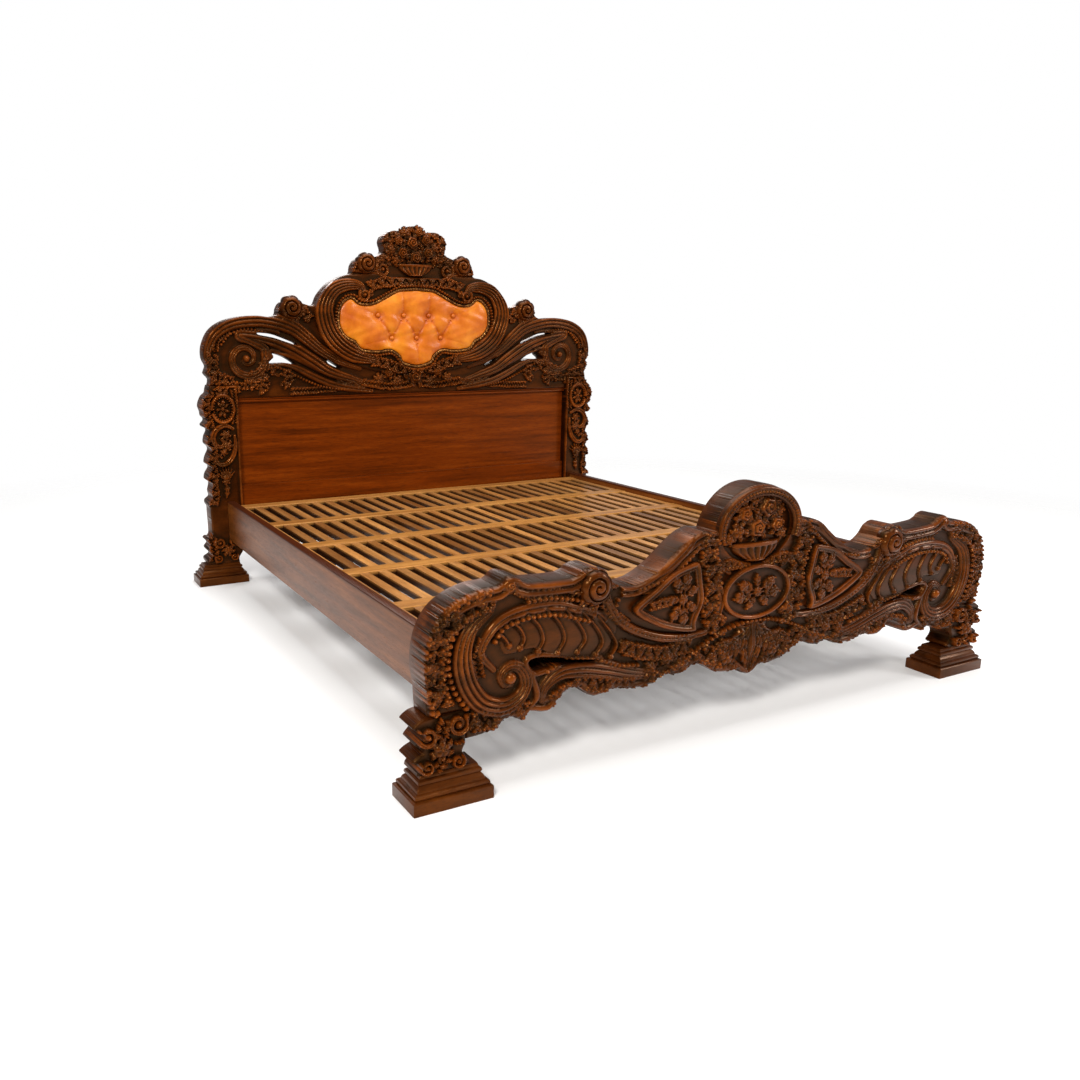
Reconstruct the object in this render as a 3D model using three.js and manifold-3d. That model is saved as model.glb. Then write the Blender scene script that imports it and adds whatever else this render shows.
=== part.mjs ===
// Carved bed with a tall crested headboard, a low arched footboard and a slatted deck.
// Millimetres. +X across the bed, +Y towards the headboard, +Z up.
// The origin is on the floor under the middle of the bed.

import * as THREE from 'three';
import { mergeVertices } from 'three/addons/utils/BufferGeometryUtils.js';
import loadManifold from 'manifold-3d';

const wasm = await loadManifold();
wasm.setup();

// ---------------------------------------------------------------- driving sizes

const overallWidth = 1968;
const overallLength = 2172;
const gap = 0.3;                  // between two pieces that touch

const plinthWidth = 201;
const plinthDepth = 121;
const plinthHeight = 82;

const postThickness = 82;
const postSetBack = 20;           // plinth front to post front
const fieldMargin = 199;          // edge of the bed to the inner edge of a post

const panelBottom = 397;
const panelTop = 749;
const panelThickness = 22;
const panelRecess = 35;           // post front to panel front
const crestThickness = 58;
const crestRecess = 6;            // post front to crest front
const crestSeat = 54;             // panel top to the joint on top of a post
const lowerRailBottom = 200;
const lowerRailThickness = 45;
const lowerRailRecess = 20;

const footThickness = 76;
const footSetBack = 23;           // plinth front to footboard front
const legTop = 216;
const legSetBack = 16;
const legMargin = 141;            // edge of the bed to the inner edge of a leg

const railThickness = 30;
const railBottom = 179;
const railTop = 340;
const railMargin = 134;           // edge of the bed to the outer face of a rail

const ledgerWidth = 28;
const ledgerHeight = 22;
const ledgerTop = 254;
const ledgerEndGap = 56;

const beamTop = 320;
const beamWidth = 60;
const ledgeWidth = 25;            // the shelf on a beam that carries the slats
const ledgeHeight = 22;
const deckSideGap = 1;            // beam end to rail
const deckEndGap = 1;             // deck to footboard and to posts

const slatRows = 5;
const slatsPerRow = 28;
const slatWidth = 30;
const slatThickness = 22;
const slatDrop = 2;               // slat top below beam top
const slatEndGap = 1;
const cleatWidth = 20;

const plateThickness = 3;
const plateReach = 32;
const plateLength = 52;

const padThickness = 26;
const trimWidth = 13;
const trimDepth = 20;
const frameDepth = 26;
const buttonRadius = 10;
const buttonHeight = 8;
const pocketClearance = 2;
const reliefDepth = 22;           // how far an applied carving stands off its board

// ------------------------------------------------------------- derived positions

const halfWidth = overallWidth / 2;
const halfLength = overallLength / 2;
const fieldHalf = halfWidth - fieldMargin;
const legInner = halfWidth - legMargin;
const railOuter = halfWidth - railMargin;
const railInner = railOuter - railThickness;

const postFront = halfLength - plinthDepth + postSetBack;
const panelFront = postFront + panelRecess;
const crestFront = postFront + crestRecess;
const footFront = -halfLength + footSetBack;
const footBack = footFront + footThickness;

// The boards are drawn for one width. The field between the posts stretches with the bed,
// and the ends outside it keep their own width.
const drawnFieldHalf = 785;
const across = (x) => (x <= drawnFieldHalf
  ? (x * fieldHalf) / drawnFieldHalf
  : fieldHalf + x - drawnFieldHalf);

// ---------------------------------------------------------------------- materials

const finishes = {
  carvedWood: { color: 0x4a2410, roughness: 0.35, metalness: 0 },
  panelWood: { color: 0x6b3212, roughness: 0.35, metalness: 0 },
  railWood: { color: 0x5c3a26, roughness: 0.45, metalness: 0 },
  slatWood: { color: 0xb98a52, roughness: 0.55, metalness: 0 },
  leather: { color: 0xc8701f, roughness: 0.4, metalness: 0 },
  nailMetal: { color: 0x4a3526, roughness: 0.35, metalness: 0.9 },
  steel: { color: 0x8d8f92, roughness: 0.45, metalness: 1 },
};

const bed = new THREE.Group();

function addPiece(name, geometry, finish) {
  const material = new THREE.MeshStandardMaterial({ ...finishes[finish], flatShading: true });
  const mesh = new THREE.Mesh(geometry, material);
  mesh.name = name;
  bed.add(mesh);
}

// ------------------------------------------------------------------ solid helpers

function toManifold(source) {
  const bare = source.clone();
  bare.deleteAttribute('uv');
  bare.deleteAttribute('normal');
  const merged = mergeVertices(bare, 1e-4);
  const vertProperties = new Float32Array(merged.attributes.position.array);
  const triVerts = new Uint32Array(merged.index.array);
  return new wasm.Manifold(new wasm.Mesh({ numProp: 3, vertProperties, triVerts }));
}

function toGeometry(solid) {
  const mesh = solid.getMesh();
  const geometry = new THREE.BufferGeometry();
  geometry.setAttribute('position', new THREE.BufferAttribute(mesh.vertProperties, 3));
  geometry.setIndex(new THREE.BufferAttribute(mesh.triVerts, 1));
  geometry.computeVertexNormals();
  return geometry;
}

function box(low, high) {
  const size = high.map((value, axis) => value - low[axis]);
  const geometry = new THREE.BoxGeometry(...size);
  geometry.translate(...low.map((value, axis) => value + size[axis] / 2));
  return geometry;
}

// A flat board: an outline in x and z, given thickness along y from its front face.
function board(shape, front, thickness) {
  const geometry = new THREE.ExtrudeGeometry(shape, {
    depth: thickness, bevelEnabled: false, curveSegments: 12,
  });
  geometry.rotateX(Math.PI / 2);
  geometry.translate(0, front + thickness, 0);
  return geometry;
}

const vectors = (points) => points.map(([x, z]) => new THREE.Vector2(x, z));
const mirrored = (points) => points.map(([x, z]) => [-x, z]);
const smooth = (points, stepsPerPoint = 2) => new THREE.SplineCurve(vectors(points))
  .getPoints(Math.round(points.length * stepsPerPoint)).map((point) => [point.x, point.y]);

// Closes half an outline, which runs from the middle line round to the middle line.
const bothHalves = (half) => [...half, ...mirrored(half).reverse()];

const shapeFrom = (points) => new THREE.Shape(vectors(points));

// A copy of a closed outline, moved outwards by a distance.
function grown(points, distance) {
  const count = points.length;
  const clockwise = THREE.ShapeUtils.isClockWise(vectors(points)) ? -1 : 1;
  return points.map(([x, z], index) => {
    const [x0, z0] = points[(index + count - 1) % count];
    const [x1, z1] = points[(index + 1) % count];
    const length = Math.hypot(x1 - x0, z1 - z0);
    return [
      x + (clockwise * distance * (z1 - z0)) / length,
      z - (clockwise * distance * (x1 - x0)) / length,
    ];
  });
}

// An open rose: rings of petals as steps, axis along y, the flat back on its board.
function blossom(x, z, radius, back, depth) {
  const steps = [[0, 1], [0.25, 1], [0.34, 0.75], [0.64, 0.85], [0.72, 0.5], [1, 0.45], [1, 0], [0, 0]];
  const profile = steps.map(([out, up]) => new THREE.Vector2(out * radius, -up * depth));
  const geometry = new THREE.LatheGeometry(profile, 9);
  geometry.translate(x, back, z);
  return geometry;
}

// A flat spiral band that winds inwards from its outer radius.
function scroll({ x, z, outer, inner, turns, band, side, back, depth }) {
  const steps = 26;
  const ring = [];
  const core = [];
  for (let step = 0; step <= steps; step += 1) {
    const share = step / steps;
    const angle = Math.PI * 0.6 + share * turns * Math.PI * 2;
    const radius = outer + (inner - outer) * share;
    ring.push([x + side * radius * Math.cos(angle), z + radius * Math.sin(angle)]);
    const within = Math.max(radius - band, 1);
    core.push([x + side * within * Math.cos(angle), z + within * Math.sin(angle)]);
  }
  return board(shapeFrom([...ring, ...core.reverse()]), back - depth, depth);
}

function joined(geometries) {
  return geometries.map(toManifold).reduce((sum, part) => sum.add(part));
}

// Cuts each opening, and its copy on the other side of the bed, right through a board.
function pierced(geometry, openings) {
  const cutters = openings.flatMap((points) => [points, mirrored(points)])
    .map((points) => toManifold(board(shapeFrom(points), -overallLength, 2 * overallLength)));
  return toGeometry(cutters.reduce((sum, cutter) => sum.subtract(cutter), toManifold(geometry)));
}

// A flat ring between two closed outlines.
function ring(outer, inner, front, thickness) {
  const hole = toManifold(board(shapeFrom(inner), front - 1, thickness + 2));
  return toManifold(board(shapeFrom(outer), front, thickness)).subtract(hole);
}

// A gadrooned bowl with blossoms over it, all on one flat back.
function flowerBasket({ bowlHalf, bowlBottom, bowlTop, back, blossoms }) {
  const rim = (bowlTop - bowlBottom) * 0.22;
  const bowl = shapeFrom(bothHalves([
    [0, bowlTop], [bowlHalf, bowlTop], [bowlHalf, bowlTop - rim], [bowlHalf * 0.92, bowlTop - rim],
    [bowlHalf * 0.8, bowlBottom + rim], [bowlHalf * 0.42, bowlBottom], [0, bowlBottom],
  ].slice(1, -1)));
  const parts = [board(bowl, back - reliefDepth, reliefDepth)];
  blossoms.forEach(([x, z, radius]) => parts.push(blossom(x, z, radius, back, reliefDepth)));
  return toGeometry(joined(parts));
}

// ------------------------------------------------------------------------ plinths

// Each step of a plinth: inset from its foot, bottom and top as shares of the height.
const plinthSteps = [[0, 0, 0.38], [9, 0.3, 0.55], [16, 0.5, 0.8], [24, 0.75, 1]];

function plinth(side, front) {
  const outer = halfWidth;
  const inner = halfWidth - plinthWidth;
  const steps = plinthSteps.map(([inset, low, high]) => {
    const xs = [side * (inner + inset), side * (outer - inset)].sort((a, b) => a - b);
    return box(
      [xs[0], front + inset, low * plinthHeight],
      [xs[1], front + plinthDepth - inset, high * plinthHeight],
    );
  });
  return toGeometry(joined(steps));
}

// ---------------------------------------------------------------------- headboard

// Outer edge of a post from the top down: distance out from its inner edge, and height.
const postTop = panelTop + crestSeat - gap;
const postSide = [
  [107, postTop], [115, 773], [136, 749], [144, 719], [136, 683], [128, 661], [136, 641], [118, 622],
  [131, 575], [115, 548], [133, 495], [118, 475], [136, 429], [120, 407], [123, 358], [141, 331],
  [133, 297], [133, 202], [157, 184], [144, 162], [154, 143], [138, 118], [159, 96],
  [152, plinthHeight + gap],
];
const postInside = [
  [26, plinthHeight + gap], [26, 101], [10, 128], [0, 153], [13, 182], [13, 202], [0, 213], [0, postTop],
];

function post(side) {
  const outline = [...postSide, ...postInside].map(([out, z]) => [side * (fieldHalf + out), z]);
  const body = board(shapeFrom(outline), postFront, postThickness);
  const middle = fieldHalf + 65;
  const medallion = new THREE.CylinderGeometry(46, 50, reliefDepth, 24);
  medallion.scale(1, 1, 1.15);
  medallion.rotateX(Math.PI);
  medallion.translate(side * middle, postFront - reliefDepth / 2 + 1, 716);
  const drop = shapeFrom([[-30, 640], [30, 640], [44, 580], [34, 520], [0, 480], [-34, 520], [-44, 580]]
    .map(([x, z]) => [side * middle + x, z]));
  return toGeometry(joined([body, medallion, board(drop, postFront - 14, 15)]));
}

// Half of the crest, from the top of the finial down to the joint on the post: x, height
// above the panel top.
const crestHalf = [
  [0, 691], [34, 686], [47, 667], [92, 669], [131, 654], [149, 623], [141, 586], [170, 564], [222, 562],
  [256, 552], [277, 523], [285, 493], [327, 481], [382, 452], [426, 405], [447, 366], [484, 366],
  [539, 383], [583, 374], [602, 347], [607, 325], [641, 317], [693, 322], [759, 317], [824, 300],
  [876, 264], [905, 207], [908, 159], [895, 127], [905, 102], [887, 78], [892, crestSeat],
];
const crestOpenings = [
  [[693, 256], [628, 251], [576, 234], [531, 215], [526, 205], [576, 220], [628, 237], [688, 249]],
  [[636, 176], [602, 168], [570, 154], [536, 129], [581, 137], [649, 137], [628, 159]],
  [[400, 147], [374, 134], [340, 111], [366, 117], [398, 134]],
];
// The pad: upper horn at each side, dip, bowed top edge, pointed bottom.
const padHalf = [
  [0, 430], [73, 425], [105, 413], [157, 386], [196, 369], [235, 364], [267, 371], [296, 391], [327, 374],
  [345, 342], [348, 293], [337, 264], [314, 239], [283, 225], [269, 207], [249, 190], [183, 183],
  [131, 188], [105, 181], [78, 161], [65, 137], [31, 124], [0, 119],
];
const frameHalf = [
  [0, 479], [105, 479], [183, 493], [275, 488], [327, 481], [382, 452], [426, 405], [447, 366],
  [453, 317], [439, 264], [408, 210], [356, 161], [288, 127], [209, 102], [105, 88], [0, 85],
];
const onCrest = ([x, up]) => [across(x), panelTop + up];
const crestLoop = (half) => {
  const curve = smooth(half.map(onCrest), 1.3);
  return bothHalves(curve).filter((point, index, all) => {
    const [x, z] = all[(index + 1) % all.length];
    return Math.hypot(point[0] - x, point[1] - z) > 0.5;
  });
};

function crestBoard() {
  const half = smooth(crestHalf.map(onCrest), 1.5);
  const seat = panelTop + crestSeat;
  half.push([fieldHalf, seat], [fieldHalf, panelTop + gap]);
  half.shift();
  const outline = shapeFrom([[0, panelTop + crestHalf[0][1]], ...half, ...mirrored(half).reverse()]);
  const openings = crestOpenings.map((opening) => opening.map(onCrest));
  return pierced(board(outline, crestFront, crestThickness), openings);
}

const padLoop = crestLoop(padHalf);
const trimInner = grown(padLoop, gap);
const trimOuter = grown(padLoop, gap + trimWidth);
const frameInner = grown(padLoop, 2 * gap + trimWidth);

const buttonPlaces = [[-177, 327], [-59, 327], [59, 327], [177, 327], [-115, 234], [0, 234], [115, 234]];
const padFront = crestFront - gap - padThickness;

function buttonPlace([x, up]) {
  const [away, z] = onCrest([Math.abs(x), up]);
  return [Math.sign(x) * away, z];
}

function tuftedPad() {
  let pad = toManifold(board(shapeFrom(padLoop), padFront, padThickness));
  buttonPlaces.map(buttonPlace).forEach(([x, z]) => {
    const depth = buttonHeight + pocketClearance;
    const radius = buttonRadius + pocketClearance;
    const pocket = new THREE.CylinderGeometry(radius, radius, depth, 16);
    pocket.translate(x, padFront + depth / 2 - 0.5, z);
    pad = pad.subtract(toManifold(pocket));
  });
  return toGeometry(pad);
}

function button(place) {
  const [x, z] = buttonPlace(place);
  const geometry = new THREE.CylinderGeometry(buttonRadius * 0.7, buttonRadius, buttonHeight, 16);
  geometry.rotateX(Math.PI);
  geometry.translate(x, padFront + pocketClearance - 0.5 - gap + buttonHeight / 2, z);
  return geometry;
}

function garland() {
  const back = crestFront - gap;
  const leaf = smooth([[0, 78], [95, 76], [180, 60], [235, 30], [180, 12], [90, 6], [0, 4]].map(onCrest), 2);
  const parts = [board(shapeFrom(bothHalves(leaf.slice(1, -1))), back - 10, 10)];
  const centre = onCrest([0, 42]);
  parts.push(blossom(...centre, 32, back, reliefDepth));
  [[80, 40, 24], [150, 36, 20]].forEach(([x, up, radius]) => {
    const [away, z] = onCrest([x, up]);
    [-1, 1].forEach((side) => parts.push(blossom(side * away, z, radius, back, reliefDepth * 0.8)));
  });
  return toGeometry(joined(parts));
}

// ---------------------------------------------------------------------- footboard

// Heights on the footboard are above the top of the plinths.
const onFoot = ([x, up]) => [across(x), plinthHeight + up];
const archRadius = 147;
const archCentre = 431;
const archStart = 142;
const footTopEdge = [
  [183, 474], [218, 462], [259, 434], [305, 398], [351, 373], [396, 362], [437, 370], [467, 390],
  [483, 411], [513, 423], [546, 416], [572, 403], [686, 408], [711, 423], [742, 429], [767, 411],
  [813, 408], [871, 390], [914, 357], [940, 304], [947, 243], [940, 187],
];
const footBottomEdge = [
  [770, 75], [744, 93], [721, 93], [696, 81], [678, 98], [650, 91], [620, 91], [599, 116],
  [569, 134], [538, 134], [523, 114], [498, 101], [472, 103], [442, 111], [401, 103], [356, 98],
  [315, 106], [279, 121], [254, 111], [218, 119], [183, 131], [152, 119], [117, 96], [76, 88],
  [43, 93], [20, 75], [0, 68],
];
const footSlit = [
  [683, 220], [658, 225], [625, 220], [572, 209], [488, 192], [572, 196], [625, 200], [665, 197],
];
const legJoint = legTop + gap;

function footPanel() {
  const arch = [];
  const start = Math.acos(archStart / archRadius);
  for (let step = 1; step <= 8; step += 1) {
    const angle = Math.PI / 2 + ((start - Math.PI / 2) * step) / 8;
    arch.push([archRadius * Math.cos(angle), plinthHeight + archCentre + archRadius * Math.sin(angle)]);
  }
  const shoulder = smooth(footTopEdge.map(onFoot), 1.5);
  const insideLeg = legInner - gap;
  const legCorner = [
    [halfWidth - 47, legJoint], [insideLeg, legJoint], [insideLeg, plinthHeight + 63],
    [insideLeg - 43, plinthHeight + 65],
  ];
  const underside = smooth(footBottomEdge.map(onFoot), 1.3);
  const half = [...arch, ...shoulder, ...legCorner, ...underside.slice(0, -1)];
  const top = [0, plinthHeight + archCentre + archRadius];
  const bottom = onFoot(footBottomEdge.at(-1));
  const outline = shapeFrom([top, ...half, bottom, ...mirrored(half).reverse()]);
  return pierced(board(outline, footFront, footThickness), [footSlit.map(onFoot)]);
}

// A leg under the end of the footboard: out from its inner edge, height.
const legOutline = [
  [94, legTop], [130, 198], [102, 180], [122, 155], [104, 135], [132, 117], [112, 99],
  [120, plinthHeight + gap], [3, plinthHeight + gap], [-9, 92], [8, 117], [0, 142], [0, legTop],
];

function leg(side) {
  const front = footFront - footSetBack + legSetBack;
  const outline = legOutline.map(([out, z]) => [side * (legInner + out), z]);
  const body = board(shapeFrom(outline), front, footBack - front);
  const rosette = blossom(side * (legInner + 46), 132, 26, front + 1, 14);
  return toGeometry(joined([body, rosette]));
}

function archRim() {
  const outer = new THREE.EllipseCurve(0, 0, 139, 108, 0, Math.PI * 2).getPoints(40).slice(0, -1);
  const inner = new THREE.EllipseCurve(0, 0, 121, 88, 0, Math.PI * 2).getPoints(40).slice(0, -1);
  const centre = plinthHeight + 464;
  const place = (points) => points.map((point) => [point.x, point.y + centre]);
  const rim = ring(place(outer), place(inner), footFront - gap - reliefDepth, reliefDepth);
  const below = box([-200, footFront - 60, centre - 200], [200, footFront + 10, centre - 42]);
  return toGeometry(rim.subtract(toManifold(below)));
}

function cartouche(side) {
  const outline = [
    [396, 304], [333, 350], [282, 383], [231, 398], [201, 398], [188, 350], [180, 299], [201, 248],
    [201, 223], [257, 230], [333, 258],
  ].map(onFoot).map(([x, z]) => [side * x, z]);
  const middle = onFoot([262, 308]);
  const field = outline.map(([x, z]) => [
    side * middle[0] + (x - side * middle[0]) * 0.8, middle[1] + (z - middle[1]) * 0.8,
  ]);
  const depth = 16;
  const front = footFront - gap - depth;
  const rim = toManifold(board(shapeFrom(outline), front, depth));
  const sunk = toManifold(board(shapeFrom(field), front - 1, depth * 0.5));
  const spray = [[235, 330, 20], [262, 300, 20], [235, 275, 18], [300, 308, 15]].map(([x, up, radius]) => {
    const [away, z] = onFoot([x, up]);
    return toManifold(blossom(side * away, z, radius, footFront - gap, depth));
  });
  return toGeometry(spray.reduce((sum, flower) => sum.add(flower), rim.subtract(sunk)));
}

function centreMedallion() {
  const centre = plinthHeight + 299;
  const ellipse = (rx, rz) => new THREE.EllipseCurve(0, 0, rx, rz, 0, Math.PI * 2).getPoints(32)
    .slice(0, -1).map((point) => [point.x, point.y + centre]);
  const front = footFront - gap - 18;
  const rim = toManifold(board(shapeFrom(ellipse(118, 74)), front, 18));
  const sunk = toManifold(board(shapeFrom(ellipse(98, 58)), front - 1, 10));
  const spray = [[-40, 0, 22], [40, 0, 22], [0, 22, 24], [0, -26, 20]]
    .map(([x, up, radius]) => toManifold(blossom(x, centre + up, radius, footFront - gap, 18)));
  return toGeometry(spray.reduce((sum, flower) => sum.add(flower), rim.subtract(sunk)));
}

// ---------------------------------------------------------------------- side rails

const railFoot = footBack + gap;
const railHead = postFront - gap;

function sideRail(side) {
  const xs = [side * railInner, side * railOuter].sort((a, b) => a - b);
  return box([xs[0], railFoot, railBottom], [xs[1], railHead, railTop]);
}

function ledger(side) {
  const near = railInner - gap;
  const xs = [side * (near - ledgerWidth), side * near].sort((a, b) => a - b);
  return box(
    [xs[0], railFoot + ledgerEndGap, ledgerTop - gap - ledgerHeight],
    [xs[1], railHead - ledgerEndGap, ledgerTop - gap],
  );
}

// A steel angle in the corner between a rail and the board that it locks to.
function hookPlate(side, end) {
  const near = railInner - gap;
  const face = end > 0 ? railHead : railFoot;
  const corner = [
    [0, 0], [plateReach, 0], [plateReach, plateThickness], [plateThickness, plateThickness],
    [plateThickness, plateLength], [0, plateLength],
  ].map(([across2, along]) => [side * (near - across2), face - end * along]);
  const geometry = new THREE.ExtrudeGeometry(shapeFrom(corner), { depth: 40, bevelEnabled: false });
  geometry.translate(0, 0, railBottom + 8);
  return geometry;
}

// ----------------------------------------------------------------------------- deck

const deckHalf = railInner - deckSideGap;
const deckFoot = footBack + deckEndGap;
const deckHead = postFront - deckEndGap;
const rowLength = (deckHead - deckFoot - (slatRows + 1) * beamWidth) / slatRows;

// A beam across the bed, seen from its end: a tall web on a shelf that carries slat ends.
function beam(index) {
  const start = deckFoot + index * (beamWidth + rowLength);
  const end = start + beamWidth;
  const shelfStart = index > 0 ? start - ledgeWidth : start;
  const shelfEnd = index < slatRows ? end + ledgeWidth : end;
  const web = box([-deckHalf, start, ledgerTop], [deckHalf, end, beamTop]);
  const shelf = box([-deckHalf, shelfStart, ledgerTop], [deckHalf, shelfEnd, ledgerTop + ledgeHeight]);
  return toGeometry(joined([web, shelf]));
}

// One row of slats along the bed, nailed to a cleat at each end.
function slatRow(index) {
  const start = deckFoot + beamWidth + index * (beamWidth + rowLength) + slatEndGap;
  const end = start + rowLength - 2 * slatEndGap;
  const top = beamTop - slatDrop;
  const under = top - slatThickness;
  const shelfTop = ledgerTop + ledgeHeight + gap;
  const side = deckHalf - slatEndGap;
  const pitch = (2 * side - slatWidth) / (slatsPerRow - 1);
  const parts = [
    box([-side, start, shelfTop], [side, start + cleatWidth, under + 1]),
    box([-side, end - cleatWidth, shelfTop], [side, end, under + 1]),
  ];
  for (let slat = 0; slat < slatsPerRow; slat += 1) {
    const left = -side + slat * pitch;
    parts.push(box([left, start, under], [left + slatWidth, end, top]));
  }
  return toGeometry(joined(parts));
}

// ------------------------------------------------------------------------- assembly

const sides = [['left', -1], ['right', 1]];

sides.forEach(([label, side]) => {
  addPiece(`headboard_plinth_${label}`, plinth(side, halfLength - plinthDepth), 'carvedWood');
  addPiece(`headboard_post_${label}`, post(side), 'carvedWood');
});
addPiece('headboard_lower_rail', box(
  [-fieldHalf + gap, postFront + lowerRailRecess, lowerRailBottom],
  [fieldHalf - gap, postFront + lowerRailRecess + lowerRailThickness, panelBottom - gap],
), 'panelWood');
addPiece('headboard_panel', box(
  [-fieldHalf + gap, panelFront, panelBottom],
  [fieldHalf - gap, panelFront + panelThickness, panelTop],
), 'panelWood');
addPiece('panel_top_moulding', box(
  [-fieldHalf + gap, panelFront - gap - 16, panelTop - 16],
  [fieldHalf - gap, panelFront - gap, panelTop],
), 'panelWood');
addPiece('crest_board', crestBoard(), 'carvedWood');
addPiece('crest_medallion_frame', toGeometry(
  ring(crestLoop(frameHalf), frameInner, crestFront - gap - frameDepth, frameDepth),
), 'carvedWood');
addPiece('tufted_pad', tuftedPad(), 'leather');
addPiece('nail_trim', toGeometry(
  ring(trimOuter, trimInner, crestFront - gap - trimDepth, trimDepth),
), 'nailMetal');
buttonPlaces.forEach((place, index) => {
  addPiece(`tuft_button_${index + 1}`, button(place), 'leather');
});
addPiece('crest_basket', flowerBasket({
  bowlHalf: 92,
  bowlBottom: panelTop + 482,
  bowlTop: panelTop + 545,
  back: crestFront - gap,
  blossoms: [[-60, 575], [60, 575], [0, 592], [-45, 635], [45, 635], [0, 655]]
    .map(([x, up]) => [x, panelTop + up, 38]),
}), 'carvedWood');
addPiece('crest_garland', garland(), 'carvedWood');

sides.forEach(([label, side]) => {
  const back = crestFront - gap;
  const [upperX, upperZ] = onCrest([222, 534]);
  addPiece(`crest_upper_rose_${label}`, blossom(side * upperX, upperZ, 38, back, reliefDepth), 'carvedWood');
  const [roseX, roseZ] = onCrest([549, 354]);
  addPiece(`crest_shoulder_rose_${label}`, blossom(side * roseX, roseZ, 46, back, reliefDepth), 'carvedWood');
  const [voluteX, voluteZ] = onCrest([740, 146]);
  addPiece(`crest_volute_${label}`, scroll({
    x: side * voluteX, z: voluteZ, outer: 74, inner: 16, turns: 1.7, band: 15, side, back, depth: 18,
  }), 'carvedWood');
});

sides.forEach(([label, side]) => {
  addPiece(`footboard_plinth_${label}`, plinth(side, -halfLength), 'carvedWood');
  addPiece(`footboard_leg_${label}`, leg(side), 'carvedWood');
});
addPiece('footboard_panel', footPanel(), 'carvedWood');
addPiece('footboard_arch', archRim(), 'carvedWood');
addPiece('footboard_basket', flowerBasket({
  bowlHalf: 80,
  bowlBottom: plinthHeight + 380,
  bowlTop: plinthHeight + 422,
  back: footFront - gap,
  blossoms: [[-52, 444, 24], [52, 444, 24], [0, 452, 32], [14, 506, 36], [-38, 492, 26]]
    .map(([x, up, radius]) => [x, plinthHeight + up, radius]),
}), 'carvedWood');
addPiece('footboard_medallion', centreMedallion(), 'carvedWood');

sides.forEach(([label, side]) => {
  const back = footFront - gap;
  const [roseX, roseZ] = onFoot([508, 372]);
  addPiece(`footboard_rose_${label}`, blossom(side * roseX, roseZ, 42, back, reliefDepth), 'carvedWood');
  const [voluteX, voluteZ] = onFoot([740, 196]);
  addPiece(`footboard_volute_${label}`, scroll({
    x: side * voluteX, z: voluteZ, outer: 52, inner: 14, turns: 1.5, band: 12, side, back, depth: 18,
  }), 'carvedWood');
  addPiece(`footboard_cartouche_${label}`, cartouche(side), 'carvedWood');
});

sides.forEach(([label, side]) => {
  addPiece(`side_rail_${label}`, sideRail(side), 'railWood');
  addPiece(`ledger_${label}`, ledger(side), 'slatWood');
  addPiece(`hook_plate_foot_${label}`, hookPlate(side, -1), 'steel');
  addPiece(`hook_plate_head_${label}`, hookPlate(side, 1), 'steel');
});
for (let index = 0; index <= slatRows; index += 1) {
  addPiece(`cross_beam_${index + 1}`, beam(index), 'slatWood');
}
for (let index = 0; index < slatRows; index += 1) {
  addPiece(`slat_row_${index + 1}`, slatRow(index), 'slatWood');
}

export default bed;
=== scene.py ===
import math

import bmesh
import bpy
import numpy as np
from mathutils import Matrix, Vector, geometry


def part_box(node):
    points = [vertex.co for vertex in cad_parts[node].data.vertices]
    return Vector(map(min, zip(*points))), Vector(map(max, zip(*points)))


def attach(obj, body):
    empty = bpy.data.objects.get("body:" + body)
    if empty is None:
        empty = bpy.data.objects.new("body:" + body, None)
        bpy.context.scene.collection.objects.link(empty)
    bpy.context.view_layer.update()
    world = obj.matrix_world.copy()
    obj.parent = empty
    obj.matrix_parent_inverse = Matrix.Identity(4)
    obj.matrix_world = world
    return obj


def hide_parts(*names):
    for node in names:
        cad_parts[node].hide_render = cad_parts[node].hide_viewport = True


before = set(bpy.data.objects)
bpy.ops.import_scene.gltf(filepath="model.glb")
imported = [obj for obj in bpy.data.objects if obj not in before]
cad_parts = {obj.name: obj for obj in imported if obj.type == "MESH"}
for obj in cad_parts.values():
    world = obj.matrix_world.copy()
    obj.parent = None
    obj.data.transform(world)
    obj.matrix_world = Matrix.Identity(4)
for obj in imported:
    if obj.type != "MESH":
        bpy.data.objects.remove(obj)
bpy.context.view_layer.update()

# ---------------------------------------------------------------- studio
# A pale sweep of floor under soft boxes. The main light stands high on the left of the
# bed, a wide one fills from the right, and a strip from above draws the edges.

INCH = 0.0254

lens_place = (-1.749, -2.753, 1.052)
lens_turn = math.radians(28.416)
lens_tilt = math.radians(14.129)
lens_lean = math.radians(0.31)

camera_data = bpy.data.cameras.new("camera")
camera_data.sensor_width = 36.0
camera_data.lens = 31.05
camera_data.shift_x = 0.064
camera_data.shift_y = 0.015
camera = bpy.data.objects.new("camera", camera_data)
camera.location = lens_place
camera.rotation_euler = (
    Matrix.Rotation(-lens_turn, 3, "Z")
    @ Matrix.Rotation(math.pi / 2 - lens_tilt, 3, "X")
    @ Matrix.Rotation(lens_lean, 3, "Z")
).to_euler()
bpy.context.collection.objects.link(camera)
bpy.context.scene.camera = camera
bpy.context.scene.view_settings.view_transform = "Standard"


def soft_box(name, place, aim, width, height, power, tint):
    """An area light of width by height, standing at place and turned to face aim."""
    data = bpy.data.lights.new(name, "AREA")
    data.shape = "RECTANGLE"
    data.size = width
    data.size_y = height
    data.energy = power
    data.color = tint
    light = bpy.data.objects.new(name, data)
    light.location = place
    away = np.subtract(aim, place)
    light.rotation_euler = (
        math.atan2(math.hypot(away[0], away[1]), -away[2]),
        0.0,
        math.atan2(away[1], away[0]) - math.pi / 2,
    )
    bpy.context.collection.objects.link(light)


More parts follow.
